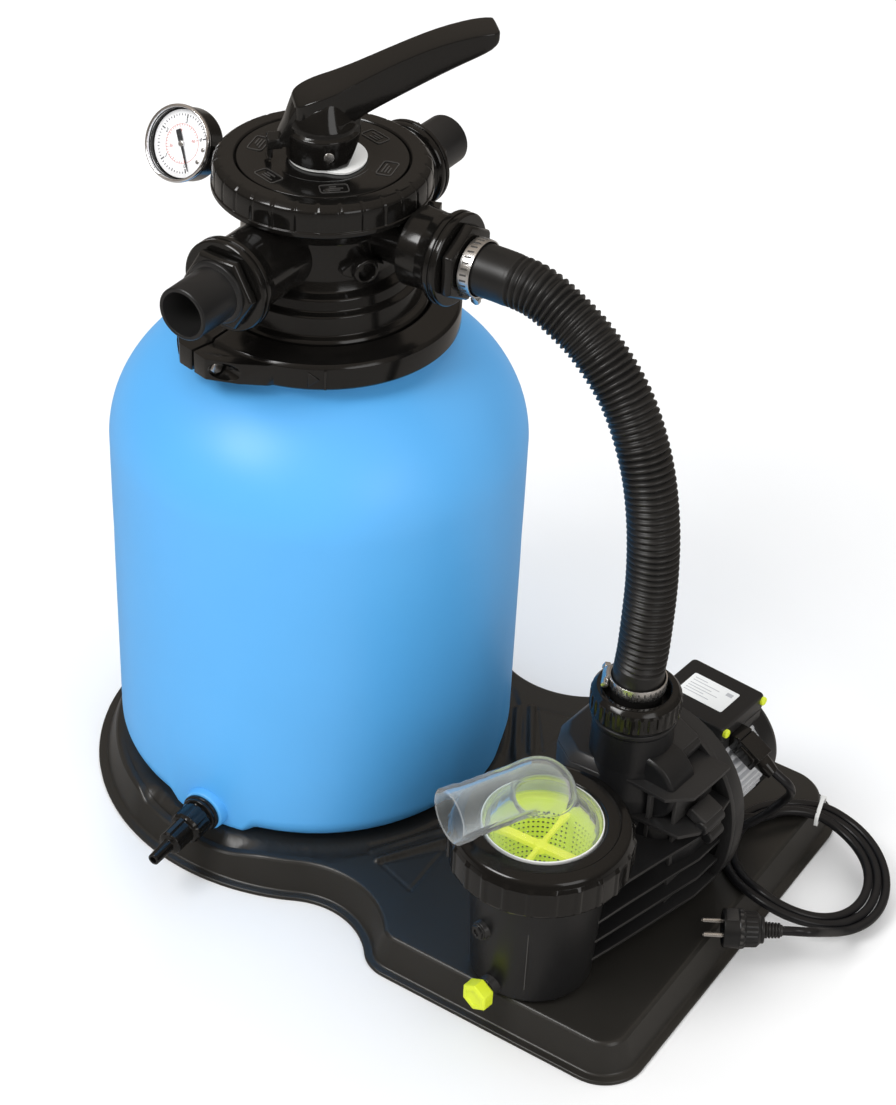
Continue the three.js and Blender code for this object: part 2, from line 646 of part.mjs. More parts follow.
function motorHousing() {
  const endShield = pipe(52, 17.4, 276, 286, 16);
  return alongShaft(join(finnedTube(), endShield));
}

function bladed(hubR, r, from, to, plateTo, blades) {
  const pieces = [rod(hubR, from, to, 10), rod(r, from, plateTo, 18)];
  for (let i = 0; i < blades; i += 1) {
    pieces.push(block(hubR - 2, r - 1, -1.2, 1.2, from, to).rotateZ((i / blades) * 2 * Math.PI));
  }
  return alongShaft(cut(join(...pieces), rod(7.4, from - 5, to + 5, 12)));
}

function fanCowl() {
  const cup = turned([[59.5, 290.4], [62, 290.4], [62, 309], [57, MOTOR.end], [0, MOTOR.end],
    [0, 312], [55, 312], [59.5, 307]], 20);
  const slots = [];
  for (let i = 0; i < 6; i += 1) {
    slots.push(block(16, 50, -2.2, 2.2, 300, 330).rotateZ(i * 60 * DEG));
  }
  return alongShaft(cut(cup, ...slots));
}

function terminalBox() {
  const [half, from, to] = [MOTOR.boxHalf, 232, 304];
  const solid = block(-half, half, from, to, 160, 186);
  const saddle = alongShaft(rod(62.8, 200, 340, 24));
  const recess = block(-half + 4, half - 4, from + 4, to - 4, 182.6, 190);
  const screwBores = [240, 296].map((y) => alongX(rod(2.3, 30, 45, 8), y, 175));
  const cordBore = alongX(rod(6, 34, 45, 12), 257, 174);
  return cut(solid, saddle, recess, ...screwBores, cordBore);
}

function alongX(geometry, y, z) {
  return geometry.rotateY(Math.PI / 2).translate(0, y, z);
}

function terminalScrew(y) {
  const top = MOTOR.boxHalf + 0.3;
  return alongX(join(rod(2, 34, top + 1, 8), rod(5, top, top + 3.5, 12)), y, 175);
}

function cordConnector() {
  const socket = block(41.3, 51, 245, 269, 164, 184);
  const shell = block(0, 28, -9, 9, -9, 9).rotateY(22 * DEG).translate(49, 257, 174);
  const nose = rod(6, 24, 42, 12).rotateY(Math.PI / 2).rotateY(22 * DEG).translate(49, 257, 174);
  const pin = alongX(rod(5.6, 36, 43, 12), 257, 174);
  return join(socket, shell, nose, pin);
}

function pump(parent) {
  const group = new THREE.Group();
  group.position.set(PUMP.x, PUMP.y, 0);
  group.rotation.z = PUMP.turn;
  parent.add(group);
  add(group, "pump_body", pumpBody(), "satinBlack");
  add(group, "pot_plug", outward(hexPlug(7, 7, 5), -104 * DEG, 112), "satinBlack");
  add(group, "pump_drain_screw", outward(hexPlug(7, 12.5, 16), -93 * DEG, 48), "lime");
  add(group, "strainer_basket", strainerBasket(), "lime");
  add(group, "strainer_seal", torus(67, 1.8, 198.2), "seal");
  add(group, "strainer_lid", strainerLid(), "clear");
  add(group, "strainer_ring", strainerRing(), "satinBlack");
  pumpUnion(group);
  add(group, "motor_bracket", motorBracket(), "satinBlack");
  add(group, "impeller", bladed(14, 46, 150, 170, 154, 6), "satinBlack");
  add(group, "shaft_seal", alongShaft(pipe(18, 7.4, 174, 184, 12)), "seal");
  const shaft = [[0, 146], [7, 146], [7, 218], [28, 218], [28, 268], [7, 268], [7, 306], [0, 306]];
  add(group, "motor_shaft", alongShaft(turned(shaft, 12)), "steel");
  add(group, "bearing_front", alongShaft(pipe(17, 7.4, 200, 209, 14)), "steel");
  add(group, "bearing_rear", alongShaft(pipe(17, 7.4, 276.5, 285.5, 14)), "steel");
  add(group, "stator", alongShaft(pipe(49, 31, 216, 272, 18)), "copper");
  add(group, "motor_housing", motorHousing(), "aluminium");
  add(group, "cooling_fan", bladed(13, 50, 293, 304, 295.5, 6), "satinBlack");
  add(group, "fan_cowl", fanCowl(), "satinBlack");
  add(group, "terminal_box", terminalBox(), "satinBlack");
  const lidHalf = MOTOR.boxHalf + 0.8;
  add(group, "terminal_lid", block(-lidHalf, lidHalf, 231.2, 304.8, 186.3, 192), "satinBlack");
  add(group, "terminal_screw_front", terminalScrew(240), "lime");
  add(group, "terminal_screw_rear", terminalScrew(296), "lime");
  add(group, "cord_connector", cordConnector(), "glossBlack");
  group.updateMatrixWorld(true);
  return group;
}

// ---- Cable, tie and plug ----
// The coil lies on the tray and droops beyond its edge.
function coilPoint(angle, grow) {
  const x = CABLE.x + (CABLE.coilR + grow) * Math.cos(angle);
  const y = CABLE.y + (CABLE.coilR + grow) * Math.sin(angle);
  const droop = Math.max(0, x - TRAY.right + 6) * 0.24;
  return new THREE.Vector3(x, y, CABLE.z - droop);
}

function cablePath(start, end) {
  const lead = [[8, 0, -4], [20, 0, -18], [24, 8, -46], [12, 16, -78], [-6, 12, -104]];
  const points = [start, ...lead.map((p) => start.clone().add(new THREE.Vector3(...p)))];
  const turns = 2.72;
  const steps = 30;
  for (let i = 0; i <= steps; i += 1) {
    const part = i / steps;
    const angle = -100 * DEG - part * turns * 2 * Math.PI;
    const grow = CABLE.pitch * (part * turns - 1);
    const point = coilPoint(angle, grow);
    if (i === 0) point.z += 8;
    points.push(point);
  }
  const out = new THREE.Vector3(-Math.cos(PLUG.turn), -Math.sin(PLUG.turn), 0);
  points.push(end.clone().addScaledVector(out, 22), end.clone().addScaledVector(out, 8), end);
  return new THREE.CatmullRomCurve3(points, false, "centripetal");
}

function cableTie() {
  const around = block(-18.4, 18.4, -2.2, 2.2, -7.2, 7.2);
  const inside = block(-17.2, 17.2, -3, 3, -6, 6);
  const head = block(17.6, 21.4, -3.4, 3.4, -3, 3);
  const seat = coilPoint(CABLE.tie, 0);
  return cut(join(around, head), inside).rotateZ(CABLE.tie).translate(seat.x, seat.y, seat.z);
}

function mainsPlug() {
  const body = turned([[0, 0], [PLUG.r, 0], [PLUG.r, 14], [17.5, 18], [17.5, 34], [13, 38], [8, 40],
    [7.5, 58], [0, 58]], 16);
  const pins = [-1, 1].map((side) => rod(2.4, -19, 2, 6).translate(0, (side * PLUG.pinGap) / 2, 0));
  const turn = PLUG.turn + Math.PI;
  const plug = outward(join(body, ...pins), turn, 0);
  return plug.translate(PLUG.x, PLUG.y, PLUG.z);
}

// ---- Assembly ----
const filterSet = new THREE.Group();
add(filterSet, "base_tray", baseTray(), "trayBrown");
add(filterSet, "tank_shell", tankShell(), "tankBlue");
add(filterSet, "sand_bed", sandBed(), "sand");
add(filterSet, "underdrain", cut(underdrainBody(0), rod(20.6, 90, 110, 14)), "nylon");
add(filterSet, "standpipe", pipe(20, 17, 91, 578, 14), "nylon");
add(filterSet, "top_diffuser", turned([[20.7, 478], [55, 494], [55, 500], [20.7, 500]], 16), "nylon");
drain(filterSet);

add(filterSet, "flange_seal", torus(101, 2, 533.4, 24), "seal");
add(filterSet, "clamp_ring_left", clampHalf(-1), "glossBlack");
add(filterSet, "clamp_ring_right", clampHalf(1), "glossBlack");
add(filterSet, "clamp_bolt_front", clampBolt(1), "steel");
add(filterSet, "clamp_bolt_back", clampBolt(-1), "steel");

add(filterSet, "valve_body", valveBody(), "glossBlack");
add(filterSet, "spider_gasket", spiderGasket(), "seal");
add(filterSet, "valve_rotor", valveRotor(), "glossBlack");
add(filterSet, "valve_spring", coilSpring(19, 1.6, 640.3, 676, 3.5), "steel");
add(filterSet, "lid_seal", torus(76.7, 1.2, 677.7, 24), "seal");
add(filterSet, "valve_lid", valveLid(), "glossBlack");
add(filterSet, "lid_nut", lidNut(), "glossBlack");
add(filterSet, "handle_washer", pipe(44, 12.5, LID.top + GAP, 686.8, 24), "nylon");
add(filterSet, "handle_pin", handlePin(), "steel");
add(filterSet, "handle_lever", leverHandle(), "glossBlack");
gauge(filterSet);

add(filterSet, "return_adaptor", portAdaptor(RETURN_PORT, PORT.tailR, PORT.bore), "satinBlack");
add(filterSet, "waste_adaptor", portAdaptor(WASTE_PORT, PORT.tailR, PORT.bore), "satinBlack");
add(filterSet, "pump_port_tail", portAdaptor(PUMP_PORT, HOSE.tailR, HOSE.tailBore), "satinBlack");

const pumpGroup = pump(filterSet);
const hoseEnd = pumpGroup.localToWorld(new THREE.Vector3(UNION.x, UNION.y, UNION.seat + 9));
add(filterSet, "hose", swept(hosePath(hoseEnd), HOSE.r, HOSE.bore, 20, 5), "rubberBlack");
const topClamp = outward(wormClamp().rotateZ(20 * DEG), 0, PUMP_PORT.z);
topClamp.translate(PUMP_PORT.face + 19, 0, 0);
add(filterSet, "hose_clamp_top", topClamp, "steel");
const lowClamp = wormClamp().rotateZ(-70 * DEG).translate(hoseEnd.x, hoseEnd.y, hoseEnd.z + 18);
add(filterSet, "hose_clamp_bottom", lowClamp, "steel");

const cordStart = pumpGroup.localToWorld(new THREE.Vector3(88.5, 257, 158));
const cordEnd = new THREE.Vector3(PLUG.x, PLUG.y, PLUG.z);
cordEnd.addScaledVector(new THREE.Vector3(Math.cos(PLUG.turn), Math.sin(PLUG.turn), 0), -58.5);
add(filterSet, "mains_cable", swept(cablePath(cordStart, cordEnd), CABLE.r, 0, 74, 2), "rubberBlack");
add(filterSet, "cable_tie", cableTie(), "nylon");
add(filterSet, "mains_plug", mainsPlug(), "satinBlack");

export default filterSet;
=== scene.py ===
"""Looks for the sand filter set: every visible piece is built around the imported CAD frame.

Shapes are worked out in millimetres in the frame's axes and written to meshes in metres.
"""
import math

import bmesh
import bpy
from mathutils import Matrix, Vector
from mathutils.geometry import delaunay_2d_cdt


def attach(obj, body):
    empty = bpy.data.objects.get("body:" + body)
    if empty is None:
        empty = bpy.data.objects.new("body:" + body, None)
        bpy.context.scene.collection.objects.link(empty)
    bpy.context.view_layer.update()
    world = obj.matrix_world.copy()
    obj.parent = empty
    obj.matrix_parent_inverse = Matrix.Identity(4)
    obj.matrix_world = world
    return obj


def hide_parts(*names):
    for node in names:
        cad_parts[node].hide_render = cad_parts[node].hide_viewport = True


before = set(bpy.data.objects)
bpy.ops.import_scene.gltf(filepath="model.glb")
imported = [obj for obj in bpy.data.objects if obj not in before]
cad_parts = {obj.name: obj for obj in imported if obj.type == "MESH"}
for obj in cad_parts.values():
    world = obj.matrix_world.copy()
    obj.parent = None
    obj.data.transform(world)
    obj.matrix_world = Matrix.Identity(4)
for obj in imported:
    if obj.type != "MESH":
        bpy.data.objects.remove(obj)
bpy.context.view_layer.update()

MM = 0.001
TAU = 2 * math.pi
rad = math.radians
cos, sin = math.cos, math.sin

# ---- Places, in millimetres, as in the CAD ----
TRAY_TOP = 35.0
TANK_R = 200.0
DRAIN_TURN, DRAIN_Z = rad(-87), 57.0
CLAMP_SPLIT = rad(-102.5)
RETURN_PORT = dict(turn=rad(-90), z=619.0, face=145.0, tip=203.0)
WASTE_PORT = dict(turn=rad(90), z=619.0, face=145.0, tip=203.0)
PUMP_PORT = dict(turn=0.0, z=631.0, face=149.0, tip=196.0)
LEVER_TURN = rad(45)
PUMP = Matrix.Translation((369, -168, 0)) @ Matrix.Rotation(rad(-5.2), 4, "Z")
SHAFT = PUMP @ Matrix.Translation((0, 0, 118)) @ Matrix.Rotation(rad(-90), 4, "X")
UNION = PUMP @ Matrix.Translation((-3, 140.6, 0))
GAUGE = Matrix.Translation((-155, 0, 647)) @ Matrix.Rotation(rad(65), 4, "X")
UPRIGHT = Matrix(((1, 0, 0, 0), (0, 0, 1, 0), (0, 1, 0, 0), (0, 0, 0, 1)))   # (x, y, z) to (x, z, y)
CLAMP_Z, BOLT_REACH = 533.0, 143.0
LID_TOP = 684.0
PIVOT_Z = 700.0
DIAL_TOP = 6.5
WEB_THICK = 3.8


# ---- Materials ----
def settle(made, values):
    """Sets a node's sockets, by name or number, and its own attributes."""
    for key, value in values.items():
        if isinstance(key, int) or key in made.inputs:
            made.inputs[key].default_value = value
        else:
            setattr(made, key, value)


def node(tree, kind, **values):
    """Adds a node; an underscore in a name stands for a space, as in From_Min."""
    made = tree.nodes.new("ShaderNode" + kind)
    settle(made, {key if hasattr(made, key) else key.replace("_", " "): values[key] for key in values})
    return made


def mixed_color(tree, low, high):
    """A colour mix; its factor goes to socket 0 and its result is output 2."""
    mix = node(tree, "Mix", data_type="RGBA")
    settle(mix, {6: (*low, 1), 7: (*high, 1)})
    return mix


def moulded(name, color, rough, vary=0.12, grain=0.06, grain_scale=900, wave=0.0,
            metallic=0.0, streak=None, edge_highlight=0.0, mirror=0.5, glow=0.0):
    """A plastic or metal: its colour and gloss drift slowly, and a fine grain lies in its bump. Sharp
    outward edges can be mixed towards a lighter grey, a painted edge highlight.
    """
    mat = bpy.data.materials.new(name)
    mat.use_nodes = True
    tree = mat.node_tree
    link = tree.links.new
    shader = tree.nodes["Principled BSDF"]
    # The emission in the thing's own colour is a painted glow.
    settle(shader, {"Metallic": metallic, "Specular IOR Level": mirror, "Emission Color": (*color, 1),
                    "Emission Strength": glow})
    place = node(tree, "TexCoord").outputs["Object"]
    fine_place = place
    if streak:
        stretch = node(tree, "Mapping", Scale=streak)
        link(place, stretch.inputs["Vector"])
        fine_place = stretch.outputs["Vector"]
    slow = node(tree, "TexNoise", Scale=9.0, Detail=4.0)
    link(place, slow.inputs["Vector"])
    fine = node(tree, "TexNoise", Scale=float(grain_scale), Detail=3.0)
    link(fine_place, fine.inputs["Vector"])
    tint = mixed_color(tree, [c * (1 - vary) for c in color], [min(1.0, c * (1 + vary)) for c in color])
    link(slow.outputs["Fac"], tint.inputs[0])
    base = tint.outputs[2]
    # Painted edge highlight: sharp outward edges are mixed towards a lighter grey.
    if edge_highlight > 0:
        edge = node(tree, "NewGeometry").outputs["Pointiness"]
        ramp = node(tree, "MapRange", From_Min=0.52, From_Max=0.62, To_Max=edge_highlight)
        link(edge, ramp.inputs["Value"])
        highlit_edges = mixed_color(tree, color, (0.16, 0.15, 0.14))
        link(ramp.outputs["Result"], highlit_edges.inputs[0])
        link(base, highlit_edges.inputs[6])
        base = highlit_edges.outputs[2]
    link(base, shader.inputs["Base Color"])
    gloss = node(tree, "MapRange", To_Min=max(0.02, rough - 0.06), To_Max=rough + 0.07)
    link(slow.outputs["Fac"], gloss.inputs["Value"])
    link(gloss.outputs["Result"], shader.inputs["Roughness"])
    bump = node(tree, "Bump", Strength=grain, Distance=0.0004)
    link(fine.outputs["Fac"], bump.inputs["Height"])
    if wave > 0:
        swell = node(tree, "TexNoise", Scale=16.0, Detail=1.0)
        link(place, swell.inputs["Vector"])
        broad = node(tree, "Bump", Strength=wave, Distance=0.006)
        link(swell.outputs["Fac"], broad.inputs["Height"])
        link(broad.outputs["Normal"], bump.inputs["Normal"])
    link(bump.outputs["Normal"], shader.inputs["Normal"])
    return mat


def clear_plastic(name, haze=0.08, cloud=0.45, tint=(0.95, 0.97, 0.97)):
    """Clear moulded plastic: see-through face on, brighter and more mirror-like at its edges."""
    mat = bpy.data.materials.new(name)
    mat.use_nodes = True
    tree = mat.node_tree
    link = tree.links.new
    tree.nodes.remove(tree.nodes["Principled BSDF"])
    out = tree.nodes["Material Output"]
    place = node(tree, "TexCoord").outputs["Object"]
    ripple = node(tree, "TexNoise", Scale=60.0, Detail=2.0)
    link(place, ripple.inputs["Vector"])
    bump = node(tree, "Bump", Strength=0.15, Distance=0.001)
    link(ripple.outputs["Fac"], bump.inputs["Height"])
    through = node(tree, "BsdfTransparent", Color=(*tint, 1))
    milk = node(tree, "BsdfDiffuse", Color=(0.86, 0.88, 0.88, 1))
    shine = node(tree, "BsdfGlossy", Roughness=0.07)
    link(bump.outputs["Normal"], shine.inputs["Normal"])
    edge = node(tree, "LayerWeight", Blend=0.35)
    cloudy = node(tree, "MixShader")
    amount = node(tree, "MapRange", To_Min=haze, To_Max=cloud)
    link(edge.outputs["Facing"], amount.inputs["Value"])
    link(amount.outputs["Result"], cloudy.inputs[0])
    link(through.outputs["BSDF"], cloudy.inputs[1])
    link(milk.outputs["BSDF"], cloudy.inputs[2])
    final = node(tree, "MixShader")
    grazing = node(tree, "LayerWeight", Blend=0.12)
    link(grazing.outputs["Fresnel"], final.inputs[0])
    link(cloudy.outputs["Shader"], final.inputs[1])
    link(shine.outputs["BSDF"], final.inputs[2])
    link(final.outputs["Shader"], out.inputs["Surface"])
    return mat


BLUE = moulded("tank_blue", (0.098, 0.425, 0.86), 0.40, vary=0.035, grain=0.10, grain_scale=500, wave=0.10)
TRAY = moulded("tray_brown_black", (0.019, 0.0175, 0.015), 0.33, vary=0.2, grain=0.10, wave=0.22)
# GLOSS, SATIN and HOSE_BLACK get a painted edge highlight, a lighter grey on their sharp outward edges.
GLOSS = moulded("gloss_black", (0.0055, 0.005, 0.0045), 0.13, vary=0.2, grain=0.03, wave=0.05, edge_highlight=0.06,
                mirror=0.46)
SATIN = moulded("satin_charcoal", (0.0088, 0.0088, 0.0092), 0.33, vary=0.2, grain=0.12, grain_scale=1400,
                edge_highlight=0.30, mirror=0.42)
HOSE_BLACK = moulded("hose_black", (0.010, 0.0095, 0.009), 0.36, grain=0.08, edge_highlight=0.12, mirror=0.42)
CABLE_BLACK = moulded("cable_black", (0.008, 0.008, 0.009), 0.30, grain=0.10, grain_scale=600, mirror=0.4)
# LIME, BASKET and YELLOW glow in their own colour: a painted glow that stands in for light through the
# translucent plastic.
LIME = moulded("lime_plastic", (0.66, 0.76, 0.03), 0.38, vary=0.06, grain=0.05, glow=0.08)
BASKET = moulded("basket_lime", (0.66, 0.76, 0.04), 0.48, vary=0.06, grain=0.05, glow=0.22)
YELLOW = moulded("handle_yellow", (0.86, 0.86, 0.06), 0.45, vary=0.05, grain=0.05, glow=0.30)
STEEL = moulded("brushed_steel", (0.74, 0.73, 0.72), 0.26, vary=0.10, grain=0.18, grain_scale=160,
                metallic=1.0, streak=(1, 1, 14))
CHROME = moulded("bezel_chrome", (0.84, 0.84, 0.86), 0.12, vary=0.05, grain=0.03, metallic=1.0)
ALU = moulded("fin_aluminium", (0.66, 0.67, 0.69), 0.42, vary=0.10, grain=0.20, grain_scale=180,
              metallic=0.35, streak=(6, 1, 6))
WHITE = moulded("white_nylon", (0.80, 0.80, 0.78), 0.42, vary=0.03, grain=0.04)
SAND = moulded("filter_sand", (0.60, 0.47, 0.30), 0.9, vary=0.25, grain=0.5, grain_scale=2500)
# The dial paper glows a little: painted brightness on the white dial.
PAPER = moulded("dial_paper", (0.93, 0.93, 0.94), 0.60, vary=0.02, grain=0.03, glow=0.16)
INK = moulded("printed_black", (0.02, 0.02, 0.022), 0.55, vary=0.1, grain=0.02)
RED_INK = moulded("printed_red", (0.62, 0.12, 0.09), 0.55, vary=0.1, grain=0.02)
GREY_INK = moulded("printed_grey", (0.45, 0.45, 0.46), 0.6, vary=0.1, grain=0.02)
COPPER = moulded("winding_copper", (0.50, 0.22, 0.09), 0.4, vary=0.15, grain=0.2, metallic=0.8)
CLEAR = clear_plastic("clear_plastic", haze=0.02, cloud=0.40)
CLEAR_LENS = clear_plastic("lens_plastic", haze=0.0, cloud=0.03, tint=(0.99, 0.99, 0.99))


# ---- Mesh helpers: a shape is (points, faces) in millimetres ----
def fillet(points, radius=0.0, closed=False, steps=4):
    """Rounds an outline's corners. A point is (x, y) or (x, y, its own radius)."""
    out = []
    last = len(points) - 1
    for i, point in enumerate(points):
        r = point[2] if len(point) > 2 else radius
        corner = Vector(point[:2])
        if r <= 0 or (not closed and i in (0, last)):
            out.append(tuple(corner))
            continue
        back = Vector(points[i - 1][:2]) - corner
        ahead = Vector(points[(i + 1) % (last + 1)][:2]) - corner
        if back.length < 1e-6 or ahead.length < 1e-6:
            continue
        u, v = back.normalized(), ahead.normalized()
        half = math.acos(max(-1.0, min(1.0, u.dot(v)))) / 2
        if half > math.pi / 2 - 0.03 or half < 0.02:
            out.append(tuple(corner))
            continue
        reach = min(r / math.tan(half), 0.49 * back.length, 0.49 * ahead.length)
        r = reach * math.tan(half)
        middle = corner + (u + v).normalized() * (r / sin(half))
        start, end = corner + u * reach - middle, corner + v * reach - middle
        a0 = math.atan2(start.y, start.x)
        turn = (math.atan2(end.y, end.x) - a0 + math.pi) % TAU - math.pi
        for k in range(steps + 1):
            a = a0 + turn * k / steps
            out.append((middle.x + r * cos(a), middle.y + r * sin(a)))
    return out


def joined(rows, segments, ring=False, open_ended=False):
    """Faces between rows of point numbers that run round an axis; a row of one point is a tip."""
    faces = []
    for low, high in list(zip(rows, rows[1:])) + ([(rows[-1], rows[0])] if ring else []):
        for k in range(segments):
            m = k + 1 if open_ended else (k + 1) % segments
            if len(low) == 1 and len(high) == 1:
                break
            if len(low) == 1:
                faces.append((low[0], high[m], high[k]))
            elif len(high) == 1:
                faces.append((low[k], low[m], high[0]))
            else:
                faces.append((low[k], low[m], high[m], high[k]))
    return faces


def lathe(profile, segments=96, ring=False, relief=None, arc=None):
    """Turns (radius, height) pairs about Z. relief(angle, radius, height) sinks the surface.

    ring closes the profile on itself; arc = (from, to) makes part of a turn with closed ends.
    """
    points, rows = [], []
    count = len(profile)
    start, end = arc or (0, TAU)
    cols = segments + 1 if arc else segments
    for i, (r, z) in enumerate(profile):
        if r < 1e-6 and not arc:
            rows.append([len(points)])
            points.append((0.0, 0.0, z))
            continue
        before = profile[(i - 1) % count] if ring or i else profile[i]
        after = profile[(i + 1) % count] if ring or i < count - 1 else profile[i]
        tangent = Vector((after[0] - before[0], after[1] - before[1]))
        tangent = tangent.normalized() if tangent.length > 1e-9 else Vector((0, 1))
        row = []
        for k in range(cols):
            a = start + (end - start) * k / segments
            sink = relief(a, r, z) if relief else 0.0
            rr, zz = r - sink * tangent.y, z + sink * tangent.x
            row.append(len(points))
            points.append((rr * cos(a), rr * sin(a), zz))
        rows.append(row)
    faces = joined(rows, segments, ring, bool(arc))
    if arc:
        faces.append(tuple(row[0] for row in rows))
        faces.append(tuple(row[-1] for row in reversed(rows)))
    return points, faces


def rounded_box(half_x, half_y, radius):
    corners = [(-half_x, -half_y), (half_x, -half_y), (half_x, half_y), (-half_x, half_y)]
    return fillet(corners, radius, closed=True, steps=3)


def divided(outline, step):
    """The closed outline with points added, so that none are much more than a step apart."""
    out = []
    for a, b in zip(outline, outline[1:] + outline[:1]):
        cuts = max(1, round(math.dist(a, b) / step))
        out += [(a[0] + (b[0] - a[0]) * k / cuts, a[1] + (b[1] - a[1]) * k / cuts) for k in range(cuts)]
    return out


def turned(points, segments, ring=False, arc=None, relief=None):
    """A lathe whose outline has its corners rounded first."""
    return lathe(fillet(points), segments, ring, relief, arc)


def rod(radius, low, high, sides):
    """A plain cylinder along Z, or a polygon's prism where there are few sides."""
    return lathe([(0, low), (radius, low), (radius, high), (0, high)], sides)


def prism(outline, low, high):
    count = len(outline)
    points = [(x, y, low) for x, y in outline] + [(x, y, high) for x, y in outline]
    faces = [tuple(reversed(range(count))), tuple(range(count, 2 * count))]
    for i in range(count):
        j = (i + 1) % count
        faces.append((i, j, j + count, i + count))
    return points, faces


def brick(x0, x1, y0, y1, z0, z1):
    return prism([(x0, y0), (x1, y0), (x1, y1), (x0, y1)], z0, z1)


def loft(rings, caps=True):
    count = len(rings[0])
    points = [tuple(p) for ring in rings for p in ring]
    faces = []
    for k in range(len(rings) - 1):
        for i in range(count):
            a, b = k * count + i, k * count + (i + 1) % count
            faces.append((a, b, b + count, a + count))
    if caps:
        faces.append(tuple(reversed(range(count))))
        end = (len(rings) - 1) * count
        faces.append(tuple(range(end, end + count)))
    return points, faces


def hoop(rings):
    """A loft whose last ring joins its first."""
    count, total = len(rings[0]), len(rings)
    points = [tuple(p) for ring in rings for p in ring]
    faces = []
    for k in range(total):
        below, above = k * count, (k + 1) % total * count
        for i in range(count):
            j = (i + 1) % count
            faces.append((below + i, below + j, above + j, above + i))
    return points, faces


def band(outer, inner, low, high):
    """A flat band between two outlines that have the same number of points."""
    return hoop([[(x, y, z) for x, y in line] for line, z in
                 ((outer, low), (outer, high), (inner, high), (inner, low))])


def smooth_path(points, step=4.0):
    """A Catmull-Rom curve through the points, sampled about every step."""
    points = [Vector(p) for p in points]
    ends = [2 * points[0] - points[1], *points, 2 * points[-1] - points[-2]]
    out = []
    for i in range(1, len(ends) - 2):
        p0, p1, p2, p3 = ends[i - 1:i + 3]
        pieces = max(2, round((p2 - p1).length / step))
        for k in range(pieces):
            t = k / pieces
            out.append(0.5 * (2 * p1 + (p2 - p0) * t + (2 * p0 - 5 * p1 + 4 * p2 - p3) * t * t
                              + (3 * p1 - p0 - 3 * p2 + p3) * t ** 3))
    out.append(points[-1])
    return out


def resample(path, step):
    lengths = [0.0]
    for a, b in zip(path, path[1:]):
        lengths.append(lengths[-1] + (b - a).length)
    count = max(2, round(lengths[-1] / step))
    out, k = [], 0
    for i in range(count + 1):
        target = lengths[-1] * i / count
        while k < len(path) - 2 and lengths[k + 1] < target:
            k += 1
        span = lengths[k + 1] - lengths[k] or 1.0
        out.append(path[k].lerp(path[k + 1], (target - lengths[k]) / span))
    return out


def tube(path, radius, sides=24):
    """Sweeps circles along a path; radius is a number or radius(distance along the path)."""
    forward = (path[1] - path[0]).normalized()
    across = forward.orthogonal().normalized()
    run = 0.0
    rings = []
    for i, point in enumerate(path):
        ahead = path[min(i + 1, len(path) - 1)] - path[max(i - 1, 0)]
        ahead.normalize()
        across = (across - ahead * across.dot(ahead)).normalized()
        other = ahead.cross(across)
        if i:
            run += (point - path[i - 1]).length
        r = radius(run) if callable(radius) else radius
        rings.append([point + across * (r * cos(TAU * k / sides)) + other * (r * sin(TAU * k / sides))
                      for k in range(sides)])
    return loft(rings)


def at(matrix, *shapes):
    return [([tuple(matrix @ Vector(p)) for p in points], faces) for points, faces in shapes]


def turned_to(turn, z=0.0):
    """Where a shape built along Z goes to point outwards at an angle about the tank's axis."""
    return (shifted(0, 0, z) @ Matrix.Rotation(turn, 4, "Z")
            @ tipped("Y", 90))


def spin(angle):
    return Matrix.Rotation(angle, 4, "Z")


def shifted(x, y, z):
    return Matrix.Translation((x, y, z))


def tipped(axis, degrees):
    return Matrix.Rotation(rad(degrees), 4, axis)


def text_shape(body, size, depth, matrix):
    """Flat generic figures as a thin solid."""
    curve = bpy.data.curves.new("figures", "FONT")
    curve.body, curve.size, curve.extrude = body, size, depth / 2
    curve.align_x, curve.align_y = "CENTER", "CENTER"
    curve.resolution_u = 2
    maker = bpy.data.objects.new("figures", curve)
    mesh = bpy.data.meshes.new_from_object(maker)
    shape = [tuple(matrix @ v.co) for v in mesh.vertices], [tuple(p.vertices) for p in mesh.polygons]
    bpy.data.objects.remove(maker)
    bpy.data.meshes.remove(mesh)
    return shape


def raw_object(name, shapes):
    points, faces = [], []
    for shape_points, shape_faces in shapes:
        base = len(points)
        points += [(x * MM, y * MM, z * MM) for x, y, z in shape_points]
        faces += [tuple(i + base for i in face) for face in shape_faces]
    mesh = bpy.data.meshes.new(name)
    mesh.from_pydata(points, [], faces)
    work = bmesh.new()
    work.from_mesh(mesh)
    bmesh.ops.recalc_face_normals(work, faces=work.faces)
    work.to_mesh(mesh)
    work.free()
    made = bpy.data.objects.new(name, mesh)
    bpy.context.scene.collection.objects.link(made)
    return made


def bake(obj):
    """Applies an object's modifiers to its mesh."""
    graph = bpy.context.evaluated_depsgraph_get()
    final = bpy.data.meshes.new_from_object(obj.evaluated_get(graph))
    obj.modifiers.clear()
    obj.data = final


